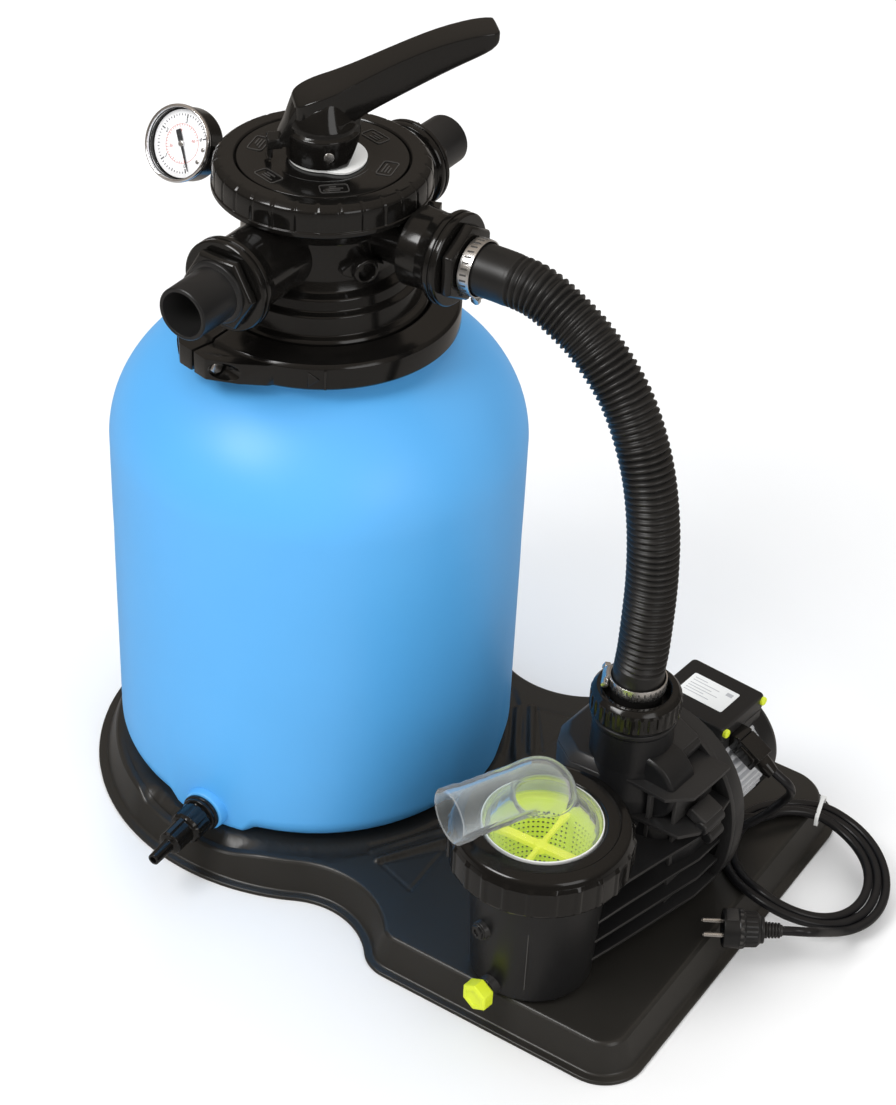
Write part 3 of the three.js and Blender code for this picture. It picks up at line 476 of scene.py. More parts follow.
def piece(name, shapes, material, body, nodes=(), bevel=0.0, cuts=(), sharp=38, rounds=2):
    obj = raw_object(name, shapes)
    if cuts:
        cutter = raw_object(name + "_cutter", cuts)
        tool = obj.modifiers.new("cut", "BOOLEAN")
        tool.operation, tool.object, tool.solver = "DIFFERENCE", cutter, "EXACT"
        tool.use_self = True
        bake(obj)
        bpy.data.objects.remove(cutter)
    if bevel > 0:
        edge = obj.modifiers.new("edge", "BEVEL")
        edge.width, edge.segments = bevel * MM, rounds
        edge.limit_method, edge.angle_limit = "ANGLE", rad(40)
        edge.use_clamp_overlap = True
        bake(obj)
    mesh = obj.data
    mesh.polygons.foreach_set("use_smooth", [True] * len(mesh.polygons))
    mesh.set_sharp_from_angle(angle=rad(sharp))
    mesh.materials.clear()
    mesh.materials.append(material)
    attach(obj, body)
    if nodes:
        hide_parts(*nodes)
    return obj


def step_between(x, low, high):
    t = max(0.0, min(1.0, (x - low) / (high - low)))
    return t * t * (3 - 2 * t)


def notch(angle, count, width, depth, shift=0.0):
    """A groove of a given angular width, repeated count times around."""
    pitch = TAU / count
    off = abs((angle - shift + pitch / 2) % pitch - pitch / 2)
    return depth * (1 - step_between(off, width * 0.35, width * 0.65))


ROOT = "filter_set"


# ---- Base tray ----
def tray_outline(corner, inset, fine):
    """Half of the tray's outline, from the right edge's corner round to the left end."""
    circle_x, circle_r, half, right = 11.0, 235.0, 239.0, 509.0
    waist_x, waist_half, shoulder_r = 160.0, 197.0, 40.0
    dx = waist_x - circle_x
    waist_r = (dx * dx + waist_half ** 2 - circle_r ** 2) / (2 * (circle_r - waist_half))
    waist_y, shoulder_y = waist_half + waist_r, half - shoulder_r
    rise = waist_y - shoulder_y
    run = math.sqrt((waist_r + shoulder_r) ** 2 - rise ** 2)
    meet, lean = math.atan2(rise, -run), math.atan2(waist_y, dx)
    arcs = [
        (right - corner, half - corner, corner, -1, 0, math.pi / 2, 10),
        (waist_x + run, shoulder_y, shoulder_r, -1, math.pi / 2, meet, 8),
        (waist_x, waist_y, waist_r, 1, meet - math.pi, lean - math.pi, 16),
        (circle_x, 0, circle_r, -1, lean, math.pi, 36),
    ]
    out = []
    for x, y, r, grow, start, end, points in arcs:
        points = points * fine
        for k in range(points):
            a = start + (end - start) * k / (points - 1)
            reach = r + grow * inset
            out.append((x + reach * cos(a), y + reach * sin(a)))
    return out


def tray_ring(inset, z, fine=1):
    back = tray_outline(58.0, inset, fine)
    front = [(x, -y) for x, y in tray_outline(44.0, inset, fine)][::-1]
    return [(x, y, z) for x, y in back + front[1:-1]]


def ridge(x, y, ax, ay, bx, by, width, height):
    """A rounded ridge from a to b, as a height at (x, y)."""
    ux, uy = bx - ax, by - ay
    length = math.hypot(ux, uy)
    t = max(0.0, min(1.0, ((x - ax) * ux + (y - ay) * uy) / length ** 2))
    gap = math.hypot(x - ax - t * ux, y - ay - t * uy)
    return height * (1 - step_between(gap, width * 0.15, width))


RIDGES = [(163.9, -134.1, 203.2, -66.1), (176.0, -141.6, 213.0, -81.5), (181, -144, 221, -89),
          (221, -89, 225, -157), (225, -157, 181, -144)]


def tray_height(x, y):
    z = 0.0
    ring = math.hypot(x, y)
    z -= 2.6 * step_between(ring, 199, 203) * (1 - step_between(ring, 211, 217))
    side = abs(y)
    for k, (ax, ay, bx, by) in enumerate(RIDGES):
        z += ridge(x, -side, ax, ay, bx, by, *((5.5, 3.4) if k < 2 else (3.0, -1.0)))
    return z


def pocket(x, y):
    """How far the tray's rim sinks where the drain passes over it."""
    turn = math.degrees(math.atan2(y, x))
    window = step_between(turn, -113, -107) * (1 - step_between(turn, -82, -66))
    return 9.0 * window * step_between(math.hypot(x, y), 198, 208)


def build_tray():
    sections = fillet([(24, TRAY_TOP - 6), (12.5, 0), (0.6, 0, 0.6), (0, 4.4, 1.6), (8.5, 4.6, 3.5),
                       (18.5, TRAY_TOP - 3, 1.0), (21, TRAY_TOP, 3.6), (27, TRAY_TOP)])
    rings = []
    for inset, z in sections:
        rise = max(0.0, (z - 4) / (TRAY_TOP - 4)) if inset < 25 else 1.0
        rings.append([(x, y, z - pocket(x, y) * rise) if inset > 5 and z > 1 else (x, y, z)
                      for x, y, _ in tray_ring(inset, z, 3)])
    skirt = loft(rings[2:], caps=False)
    lining = loft([tray_ring(24, TRAY_TOP - 20, 3), *rings[1:3]], caps=False)
    edge = [Vector(p[:2]) for p in tray_ring(27, TRAY_TOP, 3)]
    xs = range(-190, 490, 4)
    ys = range(-216, 217, 4)
    limit = tray_outline(58.0, 31, 1)
    half_at = {}
    for x in xs:
        near = [y for (px, y) in limit if abs(px - x) < 9]
        half_at[x] = min(near) if near else 0.0
    inner = [Vector((x, y)) for x in xs for y in ys if abs(y) < half_at[x] - 3 and x > -188]
    inner += [Vector((x + 1, side * y + 1)) for side in (-1, 1) for x in range(156, 232, 2)
              for y in range(60, 166, 2)]
    count = len(edge)
    loop = [list(range(count))]
    points, _, faces, *_ = delaunay_2d_cdt(edge + inner, [], loop, 1, 1e-4)
    top = ([(p.x, p.y, TRAY_TOP + tray_height(p.x, p.y) - pocket(p.x, p.y)) for p in points],
           [tuple(f) for f in faces])
    low = [Vector(p[:2]) for p in tray_ring(24, 0, 3)]
    points, _, faces, *_ = delaunay_2d_cdt(low, [], [list(range(len(low)))], 1, 1e-4)
    under = [(p.x, p.y, TRAY_TOP - 20) for p in points], [tuple(f) for f in faces]
    pad = turned([(0, 0), (40, 0, 1.5), (40, TRAY_TOP - 5), (0, TRAY_TOP - 5)], 48)
    shapes = [skirt, lining, top, under, pad]
    tray = piece("tray", shapes, TRAY, ROOT, ["base_tray"], sharp=50)
    work = bmesh.new()
    work.from_mesh(tray.data)
    bmesh.ops.remove_doubles(work, verts=work.verts, dist=0.00005)
    bmesh.ops.recalc_face_normals(work, faces=work.faces)
    work.to_mesh(tray.data)
    work.free()


# ---- Tank ----
def tank_profile(foot_r):
    base = TRAY_TOP + 0.3
    points = [(0, base), (TANK_R - foot_r - 20, base)]
    for k in range(13):
        a = rad(90) * k / 12
        points.append((TANK_R - foot_r + foot_r * sin(a), base + foot_r * (1 - cos(a))))
    for k in range(1, 9):
        points.append((TANK_R, 80 + (394 - 80) * k / 9))
    for k in range(1, 33):
        a = rad(58.5) * k / 32
        points.append((TANK_R * cos(a) ** 0.82, 394 + 133 * sin(a) ** 1.02))
    return points


def build_tank():
    wide, narrow = tank_profile(32), tank_profile(9)
    neck = [(110, 515), (110, 523), (117, 524), (117, 531), (104, 531), (104, 500), (0, 500)]
    segments = 256
    points, rows = [], []
    feet = [DRAIN_TURN + rad(turn) for turn in (0, 90, 180, 270)]
    for i, (r, z) in enumerate(wide + neck):
        if r < 1e-6:
            rows.append([len(points)])
            points.append((0, 0, z))
            continue
        row = []
        for k in range(segments):
            a = TAU * k / segments
            rr, zz = r, z
            if i < len(wide) and z < 80:
                away = min(abs((a - foot + math.pi) % TAU - math.pi) for foot in feet)
                lobe = 1 - step_between(math.degrees(away), 10.5, 15.0)
                rr = r + (narrow[i][0] - 3.5 - r) * lobe
                zz = z + (narrow[i][1] - z) * lobe
            if 70 < z < 110 or zz < 110:
                dent = abs(zz - 92) / 14
                away = min(abs((a - foot + math.pi) % TAU - math.pi) for foot in feet)
                if dent < 1 and math.degrees(away) < 13:
                    rr -= 2.2 * (1 - dent) ** 2 * (1 - step_between(math.degrees(away), 7, 13))
            if abs(z - 300) < 20:
                rr -= 0.25
            row.append(len(points))
            points.append((rr * cos(a), rr * sin(a), zz))
        rows.append(row)
    boss = at(turned_to(DRAIN_TURN, DRAIN_Z),
              turned([(0, 170), (27, 170), (23, 197, 6), (21.5, 205.8, 2.5), (0, 205.8)], 48))
    shell = (points, joined(rows, segments))
    piece("tank", [shell, *boss], BLUE, ROOT, ["tank_shell"], sharp=40)


def build_drain():
    place = turned_to(DRAIN_TURN, DRAIN_Z)
    flange = turned([(8, 204), (8, 206.2), (20, 206.2, 1), (20, 209.5, 1), (18.5, 210),
                     (18.5, 213.5, 1), (10, 214), (10, 204)], 48)
    piece("drain_socket", at(place, flange), GLOSS, ROOT, ["tank_drain_socket"])

    def ribs(angle, r, z):
        return notch(angle, 12, rad(9), 0.9) if 15 < r < 17.5 and 215 < z < 236 else 0.0

    profile = fillet([(0, 215), (16, 214.6, 1), (17, 217, 1), (17, 234, 1.5), (15, 237.5, 1), (12.6, 238, 1),
                      (12, 261, 2), (6.6, 262.5, 1), (5.8, 287, 0.8), (3.4, 287.6, 0.4), (3.2, 276),
                      (0, 276)])
    cap = lathe(profile, 96, relief=ribs)
    lug = brick(11, 16.5, -3, 3, 239, 250)
    wing = brick(-16, -11, -2, 2, 239, 262)
    piece("drain_cap", at(place, cap, lug, wing), GLOSS, "tank_drain", ["tank_drain_cap"])


# ---- Clamp ring ----
def bolt_seat(way):
    """Where a bolt that crosses the clamp's split goes: way is 1 at the front, -1 at the back."""
    return spin(CLAMP_SPLIT) @ shifted(way * BOLT_REACH, 0, CLAMP_Z) @ tipped("X", 90)


def build_clamp():
    section = fillet([(112.5, 521), (128.5, 521, 1.5), (130, 523, 1), (130, 543, 1.6), (127.5, 546.4, 1.5),
                      (104, 551, 1.5), (102.4, 549.5), (102.4, 541.6), (120, 541.6), (120, 523.6),
                      (112.5, 523.6)], closed=False, steps=3)
    gap = rad(0.75)
    halves = {"left": (CLAMP_SPLIT - math.pi + gap, CLAMP_SPLIT - gap, -1),
              "right": (CLAMP_SPLIT + gap, CLAMP_SPLIT + math.pi - gap, 1)}
    for name, (start, end, side) in halves.items():
        ring = lathe(section, 120, ring=True, arc=(start, end))
        lugs = []
        for way in (-1, 1):
            plan = fillet([(112, 1.5), (153, 1.5, 1.5), (153, 18, 5), (136, 43, 14), (118, 62, 12),
                           (104, 68)])
            outline = [(way * x, side * y) for x, y in plan]
            lugs += at(spin(CLAMP_SPLIT), prism(outline, 522.5, 543.5))
        holes = []
        for way in (-1, 1):
            holes += at(bolt_seat(way), rod(8.6, 17, 60, 24), rod(8.6, -60, -17, 24))
        piece(f"clamp_lugs_{name}", lugs, GLOSS, ROOT, (), bevel=1.2, cuts=holes)
        piece(f"clamp_{name}", [ring], GLOSS, ROOT, [f"clamp_ring_{name}"])
    arrow = [(-6, -9), (6, 0), (-6, 9)]
    for turn in (-57.0, 123.0):
        spot = spin(rad(turn))
        wedge = loft([[Vector((x, size * y, CLAMP_Z + size * z)) for y, z in arrow]
                      for x, size in ((129, 1.0), (131.4, 0.8))])
        bar = brick(129, 131.6, 9, 11.4, CLAMP_Z - 10, CLAMP_Z + 10)
        piece(f"clamp_mark_{'front' if turn < 0 else 'back'}", at(spot, wedge, bar), GLOSS, ROOT, (),
              bevel=0.4)
    for name, way in (("front", 1), ("back", -1)):
        seat = bolt_seat(way)
        head = turned([(0, -23.5), (6.3, -23.5, 1.2), (7.2, -22, 0.6), (7.2, -18.2), (0, -18.2)], 6)
        washer = turned([(0, -18.2), (8.0, -18.2, 0.3), (8.0, -17, 0.3), (0, -17)], 32)
        nut = rod(6.8, 17.2, 23, 6)
        shank = rod(4, -18, 24, 24)
        piece(f"clamp_bolt_{name}_steel", at(seat, head, washer, nut, shank), STEEL, ROOT,
              [f"clamp_bolt_{name}"], bevel=0.35)


# ---- Valve ----
def port_neck(port):
    """A neck with a doubled rim, hollow at its mouth."""
    face = port["face"]
    if port is PUMP_PORT:
        profile = [(0, 40), (24, 40), (24, 62, 6), (24, 102), (37, 103, 2)]
    else:
        profile = [(0, 40), (30, 40), (36, 62, 6)]
    profile += [(35.5, face - 26, 6), (38, face - 15, 5), (42, face - 13, 1), (43, face - 11.5, 0.8),
                (43, face - 7.6, 0.8), (41.4, face - 7, 0.3), (41.4, face - 5.8, 0.3), (43, face - 5.2, 0.8),
                (43, face - 1.6, 0.8), (41.6, face, 0.8), (26, face, 0.6), (25.4, face - 20), (0, face - 20)]
    return lathe(fillet(profile, steps=3), 72)


def build_valve():
    outer = fillet([(101, 541.8), (101.6, 543), (100.6, 551, 1.2), (99, 553.6, 1.6), (93.5, 554.6, 1.6),
                    (92, 573, 2.2), (86, 575.6, 2.0), (84.4, 586, 3), (77, 590, 4), (74, 600, 8),
                    (73.5, 636, 6), (86, 655, 4), (86.5, 676, 1), (67, 676), (66, 640), (66, 600), (0, 600)])
    shell = lathe([(0, 541.8)] + outer, 160)
    ports = []
    for port in (RETURN_PORT, WASTE_PORT, PUMP_PORT):
        ports += at(turned_to(port["turn"], port["z"]), port_neck(port))
    side_boss = turned_to(rad(-27), 612)
    boss = turned([(0, 60), (12.6, 60), (12, 87, 1.5), (8.4, 87.6, 0.8), (8, 70), (0, 70)], 40)
    diamond = fillet([(-24, 0, 3), (0, 13, 8), (24, 0, 3), (0, -13, 8)], closed=True, steps=4)
    plate = prism([(y, x) for x, y in diamond], 66, 80)
    thread = [lathe([(8.2, z), (7.2, z + 0.5), (8.2, z + 1.0)], 32, ring=True)
              for z in (72.5, 74.5, 76.5, 78.5)]
    extra = at(side_boss, boss, plate, *thread)
    stub = at(turned_to(math.pi, 647), turned([(0, 66), (10, 66), (9, 92, 1.2), (0, 92)], 36))
    back_lug = at(spin(rad(22)), brick(96, 108, -7, 7, 636, 651))
    piece("valve_housing", [shell, *ports, *extra, *stub, *back_lug], GLOSS, ROOT, ["valve_body"],
          bevel=1.0)


def build_cover():
    """The dial plate with six plain position fields, and the ribbed ring nut that holds it."""
    def flutes(angle, r, z):
        return notch(angle, 30, rad(1.5), 0.9, rad(3)) if r > 91 and z > 662 else 0.0

    nut = fillet([(89.4, 656.4), (99.0, 656.4, 1), (100, 658, 1), (100, 661.5, 0.8), (98.9, 662.4, 0.8),
                  (98.6, 676), (97.6, 681.5, 5), (92.5, 685.8, 5), (80, 686, 1.2), (78.2, 684),
                  (78.2, 681.4), (89.4, 681.2)], steps=5)
    dense = divided(nut, 3)
    piece("cover_nut_ring", [lathe(dense, 540, ring=True, relief=flutes)], GLOSS, "cover_nut", ["lid_nut"],
          sharp=50)

    lid = fillet([(12.6, 676.6), (74, 676.6), (74, 678), (86.5, 678), (87, 680.6, 0.6), (77.2, 680.9, 0.4),
                  (77.0, 685.2, 0.9), (47, 684.4), (45, 683.8, 0.6), (12.6, 683.8)], steps=3)
    marks = []
    frame_line, inner_line = (rounded_box(x, y, r) for x, y, r in ((7.5, 13, 3), (6.5, 12, 2.4)))
    for k in range(6):
        spot = spin(rad(15 + 60 * k)) @ shifted(61, 0, 0)
        marks += at(spot, band(frame_line, inner_line, LID_TOP, LID_TOP + 1.5))
        for row in range(3):
            start, end = -8 + 2 * (k % 3), 8 - 3 * ((k + row) % 3)
            marks += at(spot, brick(-3.6 + 3 * row, -2.4 + 3 * row, start, end, LID_TOP, LID_TOP + 1.4))
    piece("valve_cover", [lathe(lid, 128, ring=True)], GLOSS, ROOT, ["valve_lid"])
    piece("cover_marks", marks, SATIN, ROOT, ())


def build_washer():
    """A white washer, wider on the side of the lever's arm."""
    rings = []
    for edge, z, outer in ((39.5, 684.4, True), (39.8, 686.2, True), (39.2, 686.6, True),
                           (12.8, 686.6, False), (12.8, 684.4, False)):
        ring = []
        for a in (TAU * k / 96 for k in range(96)):
            off = abs((a - LEVER_TURN + math.pi) % TAU - math.pi)
            r = edge - (9.0 * step_between(math.degrees(off), 62, 100) if outer else 0.0)
            ring.append((r * cos(a), r * sin(a), z))
        rings.append(ring)
    piece("selector_washer", [hoop(rings)], WHITE, "selector", ["handle_washer"])


def build_adaptors():
    ports = {"return": (RETURN_PORT, "return_adaptor"), "waste": (WASTE_PORT, "waste_adaptor"),
             "pump": (PUMP_PORT, "pump_port_tail")}
    for name, (port, node_name) in ports.items():
        face, tip = port["face"], port["tip"]
        slim = port is PUMP_PORT
        r_out, r_in = (20, 17) if slim else (24.6, 20.6)
        hexagon = turned([(0, face - 16), (0.1, face - 16), (36, face + 0.5), (37.5, face + 2),
                          (37.5, face + 8), (35, face + 10.5), (0, face + 10.5)], 6)
        collar = turned([(24, face - 18), (29.5, face - 1), (29.5, face + 12.5, 1.5),
                         (26.5, face + 14), (24, face + 14)], 64, ring=True)
        r_root = r_out + (0 if slim else 0.5)
        tail = turned([(r_out, face - 16), (r_root, face + 14), (r_out, tip - 1, 0.8),
                       (r_out - 1.2, tip, 0.6), (r_in, tip - 0.2, 0.4), (r_in - 0.4, face - 16)],
                      72, ring=True)
        bore = rod(r_in - 0.2, face - 30, tip + 5, 72)
        place = turned_to(port["turn"], port["z"])
        turn_hex = place @ spin(rad(30 if port is RETURN_PORT else 0))
        piece(f"{name}_hexagon", at(turn_hex, hexagon), GLOSS, ROOT, (), bevel=0.9,
              cuts=at(place, bore))
        piece(f"{name}_tail", at(place, tail, *([] if slim else [collar])), SATIN, ROOT, [node_name])


# ---- Lever ----
def lever_section(x):
    """Half width, top and underside of the arm at a distance along it."""
    tops = [(-27, 741), (-22, 745), (-10, 750.5), (10, 757.5), (25, 764), (66, 782), (100, 794.5),
            (130, 801.5), (152, 803.4)]
    lows = [(-27, 722), (10, 722), (24, 724), (36, 731), (70, 748), (110, 768), (136, 780),
            (146, 785.5), (152, 791)]
    wide = [(-27, 13), (-24, 18), (-17, 21.5), (-4, 23), (10, 22), (30, 18.8), (60, 16.8),
            (90, 16.6), (136, 17.4), (147, 17), (152, 14.5)]

    def read(table):
        line = smooth_path([(a, b, 0) for a, b in table], 2.0)
        for a, b in zip(line, line[1:]):
            if a.x <= x <= b.x:
                return a.y + (b.y - a.y) * (x - a.x) / (b.x - a.x)
        return table[-1][1]

    return read(wide), read(tops), read(lows)


def build_lever():
    place = spin(LEVER_TURN)
    rings = []
    stops = [-27, -26, -24, -21, -17, -12, -6, 0, 6, 13, 20, 28, 36, 46, 56, 66, 78, 90, 102, 114, 124,
             132, 139, 145, 149, 151, 152]
    for x in stops:
        half, top, low = lever_section(x)
        if x in (stops[0], stops[-1]):
            half, top, low = half - 1.2, top - 1.2, low + 1.2
        soft = min(5.0, (top - low) * 0.35)
        outline = [(-half + 0.8, low, soft), (half - 0.8, low, soft), (half, top - 0.6, 1.7),
                   (half * 0.5, top), (-half * 0.5, top), (-half, top - 0.6, 1.7)]
        rings.append([Vector((x, y, z)) for y, z in fillet(outline, closed=True, steps=4)])
    arm = loft(rings)

    skirt_rings = []
    for t in (k / 8 for k in range(9)):
        r = 32.4 * (1 - t) + 23.2 * t
        round_points = [(r * cos(TAU * i / 64) - 4.0 * t, r * sin(TAU * i / 64)) for i in range(64)]
        skirt_rings.append([Vector((x, y, 720 + 24 * t + 0.42 * t * t * x)) for x, y in round_points])
    skirt = loft(skirt_rings)
    neck = rod(30.2, 712, 724, 64)
    hub = turned([(0, 687.4), (32.2, 687.4, 0.8), (33, 689, 0.8), (33, 713.5, 1.8), (30, 716),
                  (0, 716)], 72)
    bridge = prism(fillet([(8, -31), (31.5, -12), (31.5, 12), (8, 31)], 2, closed=True), 712, 728)
    rear = loft([[(-20, -near, z), (-20, near, z), (x, far, z_far), (x, -far, z_far)]
                 for near, z, x, far, z_far in ((16, 744, -26.6, 14, 740), (15, 722, -34, 10, 722),
                                                (14, 704, -42, 7, 706), (14, 700, -40, 7, 700))])
    nub = at(shifted(0, 0, 703) @ tipped("Y", 90), rod(9, -50, -37, 6))
    tee = brick(-51, -47, -6.5, 6.5, 686.8, 689.6)
    blade = brick(-50, -45, -2.4, 2.4, 686.8, 702)
    pin_hole = shifted(0, 0, PIVOT_Z) @ tipped("X", 90)
    hole = rod(5.2, -60, -30.6, 32)
    hole_back = rod(5.2, 30.6, 60, 32)
    chamfer = prism([(15, 684), (60, 684), (60, 719.5), (37, 719.5)], -50, 50)
    cuts = at(place @ pin_hole, hole, hole_back) + at(place @ UPRIGHT, chamfer)
    piece("lever_hub", at(place, hub, bridge, neck), GLOSS, "lever", (), cuts=cuts, bevel=0.8)
    piece("lever_arm", at(place, arm), GLOSS, "lever", ["handle_lever"], sharp=60)
    piece("lever_skirt", at(place, skirt), GLOSS, "lever", (), bevel=0.8)
    piece("lever_pointer", at(place, rear, *nub, tee, blade), GLOSS, "lever", (), bevel=0.9)
    pin = turned([(0, -33.4), (4.7, -33.4, 0.6), (4.7, 33.4, 0.6), (0, 33.4)], 32)
    piece("pivot_pin", at(place @ pin_hole, pin), STEEL, "stem", ["handle_pin"])
    stem = turned([(0, 640), (12, 640), (12, 690, 1), (0, 690)], 40)
    piece("valve_stem", [stem], GLOSS, "stem", ())


# ---- Gauge ----
def build_gauge():
    case = lathe(fillet([(0, -16.5), (29.5, -16.5, 3), (34, -11, 5), (34.2, 8, 1), (35.6, 9.4, 0.5),
                         (35.6, 12.6), (33.2, 12.6), (32, -8), (0, -8)], steps=4), 96)
    along_x = tipped("Y", 90)
    stem = at(along_x, turned([(0, 30), (6, 30), (6, 72), (0, 72)], 32), rod(9.5, 36, 46, 6),
              rod(9, 50, 60, 6))
    piece("gauge_housing", at(GAUGE, case, *stem), GLOSS, ROOT, ["gauge_case"], bevel=0.4)
    bezel = lathe(fillet([(33.4, 12.4), (36, 12.4, 0.4), (36, 15, 1.2), (34.4, 16.5, 0.9), (33.0, 16, 0.7),
                          (32.8, 13), (33.2, 12.4)], closed=False, steps=4), 128, ring=True)
    piece("gauge_bezel", at(GAUGE, bezel), CHROME, ROOT, ())
    dial = turned([(0, 5.4), (31.4, 5.4), (31.4, 6.5, 0.3), (0, 6.5)], 96)
    piece("gauge_face", at(GAUGE, dial), PAPER, ROOT, ["gauge_dial"])
    start, sweep = rad(-65), rad(-270)
    black, red = [], []
    for k in range(41):
        inner = 23.4 if k % 10 == 0 else 24.6 if k % 5 == 0 else 25.6
        width = 0.55 if k % 10 == 0 else 0.3
        mark = brick(inner, 27.4, -width, width, DIAL_TOP, DIAL_TOP + 0.22)
        black += at(spin(start + sweep * k / 40), mark)
    for k in range(31):
        inner = 15.2 if k % 5 == 0 else 16.4
        mark = brick(inner, 18, -0.22, 0.22, DIAL_TOP, DIAL_TOP + 0.2)
        red += at(spin(start + sweep * k / 30), mark)
    circle = [lathe([(18.0, 6.5), (18.3, 6.5), (18.3, 6.7), (18.0, 6.7)], 96, ring=True)]
    for scale, figures, size, r in ((black, "0 1 2 3 4", 5.6, 20.8), (red, "0 20 40 60", 3.8, 12.6)):
        figures = figures.split()
        for k, figure in enumerate(figures):
            a = start + sweep * k / (len(figures) - 1)
            scale.append(text_shape(figure, size, 0.2, shifted(r * cos(a), r * sin(a), DIAL_TOP + 0.1)))
    piece("gauge_scale_black", at(GAUGE, *black), INK, ROOT, ())
    piece("gauge_scale_red", at(GAUGE, *red, *circle), RED_INK, ROOT, ())
    screws = []
    for a in (rad(-28), rad(2)):
        spot = shifted(24 * cos(a), 24 * sin(a), 0)
        screws += at(spot, turned([(0, 6.4), (2.1, 6.4), (2.0, 7.3, 0.5), (0, 7.5)], 24))
    piece("gauge_dial_screws", at(GAUGE, *screws), STEEL, ROOT, ())
    blade = fillet([(0.3, -26.5), (1.3, -3), (1.3, 2), (2.6, 3), (2.6, 13.5, 0.6), (-2.6, 13.5, 0.6),
                    (-2.6, 3), (-1.3, 2), (-1.3, -3), (-0.3, -26.5)], closed=True, steps=2)
    turn = GAUGE @ spin(rad(32))
    piece("gauge_pointer", at(turn, prism(blade, 7.5, 8.2)), INK, "needle", ["gauge_needle"])
    cap = turned([(0, 7.2), (3.1, 7.2), (3, 9.1, 0.8), (0, 9.4)], 32)
    piece("gauge_pointer_cap", at(turn, cap), STEEL, "needle", ())
    lens = turned([(0, 10.8), (32.6, 10.8), (32.6, 12.2, 0.3), (0, 13.2)], 96)
    piece("gauge_window", at(GAUGE, lens), CLEAR_LENS, ROOT, ["gauge_lens"])


# ---- Hose and clamps ----
def hose_path():
    end = UNION @ Vector((0, 0, 259))
    start = PUMP_PORT["z"]
    points = [(161, 0, start), (181, 0, start), (201, 0, start), (228, 0, 629), (255, 0, 618),
              (290, -1, 596), (326, -3, 558), (352, -7, 509), (368, -12, 455), (376, -17, 396),
              (end.x + 1, end.y + 2, 331), (end.x, end.y, 301), (end.x, end.y, 280), end]
    return smooth_path(points, 4)


def build_hose():
    path = resample(hose_path(), 0.85)
    total = sum((b - a).length for a, b in zip(path, path[1:]))
    cuff = 46.0

    def radius(run):
        near = min(run, total - run)
        if near < cuff:
            return 23.9 - 0.5 * step_between(near, cuff - 5, cuff)
        wave = 0.5 + 0.5 * cos(TAU * (run - cuff) / 6.0)
        return 20.9 + 2.9 * wave ** 0.75

    piece("hose_corrugated", [tube(path, radius, 48)], HOSE_BLACK, ROOT, ["hose"], sharp=70)


def worm_clamp(name, place, turn, node_name):
    band = turned([(25.1, -6), (26.3, -6, 0.3), (26.5, 6, 0.3), (25.2, 6)], 96, ring=True)
    marks = []
    for k in range(26):
        marks += at(spin(rad(25 + k * 12)) @ tipped("X", 8), brick(26.1, 26.7, -0.8, 0.8, -3.2, 3.2))
    housing = lathe(fillet([(26.6, -6.6), (31.5, -5.4, 2), (31.5, 5.4, 2), (26.6, 6.6)], steps=3), 12,
                    ring=True, arc=(rad(-16), rad(16)))
    screw = at(shifted(29.6, 0, 0) @ tipped("X", 90),
               turned([(0, -14), (3.3, -14), (3.6, 11.5), (0, 11.5)], 20),
               turned([(0, 10.5), (4.6, 10.5), (4.6, 15), (0, 15)], 6))
    move = place @ spin(turn)
    piece(name, at(move, band, housing, *screw), STEEL, ROOT, [node_name], bevel=0.25)
    piece(name + "_teeth", at(move, *marks), SATIN, ROOT, ())


def build_clamps():
    top = turned_to(0.0, 631) @ shifted(0, 0, 168)
    worm_clamp("clamp_worm_top", top, rad(20), "hose_clamp_top")
    low = UNION @ shifted(0, 0, 287)
    worm_clamp("clamp_worm_low", low, rad(-150), "hose_clamp_bottom")


# ---- Pump ----
def build_pot():
    profile = fillet([(0, TRAY_TOP + 0.3), (52, TRAY_TOP + 0.3, 3), (57, 41, 4), (63.6, 168, 2),
                      (70, 173, 3), (74.6, 174.5, 1), (74.6, 196, 1), (60.5, 196.5), (59, 166), (52, 44),
                      (0, 44)])
    knob_at, plug_at = turned_to(rad(-93), 48), turned_to(rad(-104), 112)
    bosses = []
    for place, r in ((knob_at, 10), (plug_at, 9)):
        bosses += at(place, turned([(0, 46), (r + 1.5, 46), (r, 65.8, 1.2), (0, 65.8)], 40))
    seam = at(spin(rad(-60)), brick(60.2, 61.6, -0.4, 0.4, 60, 150))
    pot = at(PUMP, lathe(profile, 128), *bosses, *seam)
    piece("pump_pot", pot, SATIN, ROOT, ["pump_body"])
    knob_at, plug_at = PUMP @ knob_at, PUMP @ plug_at
    head = turned([(0, 65.6), (7.4, 65.6), (7.4, 68.8, 0.4), (6.6, 69.4, 0.4), (0, 69.4)], 6)
    washer = turned([(0, 65.4), (8.4, 65.4), (8.4, 67.2, 0.6), (0, 67.2)], 32)
    dimple = rod(3.4, 68, 75, 20)
    piece("pot_side_plug", at(plug_at, head, washer), SATIN, ROOT, ["pot_plug"],
          bevel=0.5, cuts=at(plug_at, dimple))
    hexagon = turned([(0, 68.5), (13, 68.5, 1), (15, 70.2, 1), (15, 81.5, 1.5), (12.8, 83, 1),
                      (9.4, 83.2, 0.6), (8.8, 81.8), (0, 81.6)], 6)
    collar = turned([(0, 65.6), (8.6, 65.6), (8.6, 70, 0.8), (0, 70)], 32)
    piece("drain_knob", at(knob_at, hexagon), LIME, "pump_drain", ["pump_drain_screw"], bevel=0.8)
    piece("drain_knob_neck", at(knob_at, collar), SATIN, "pump_drain", ())


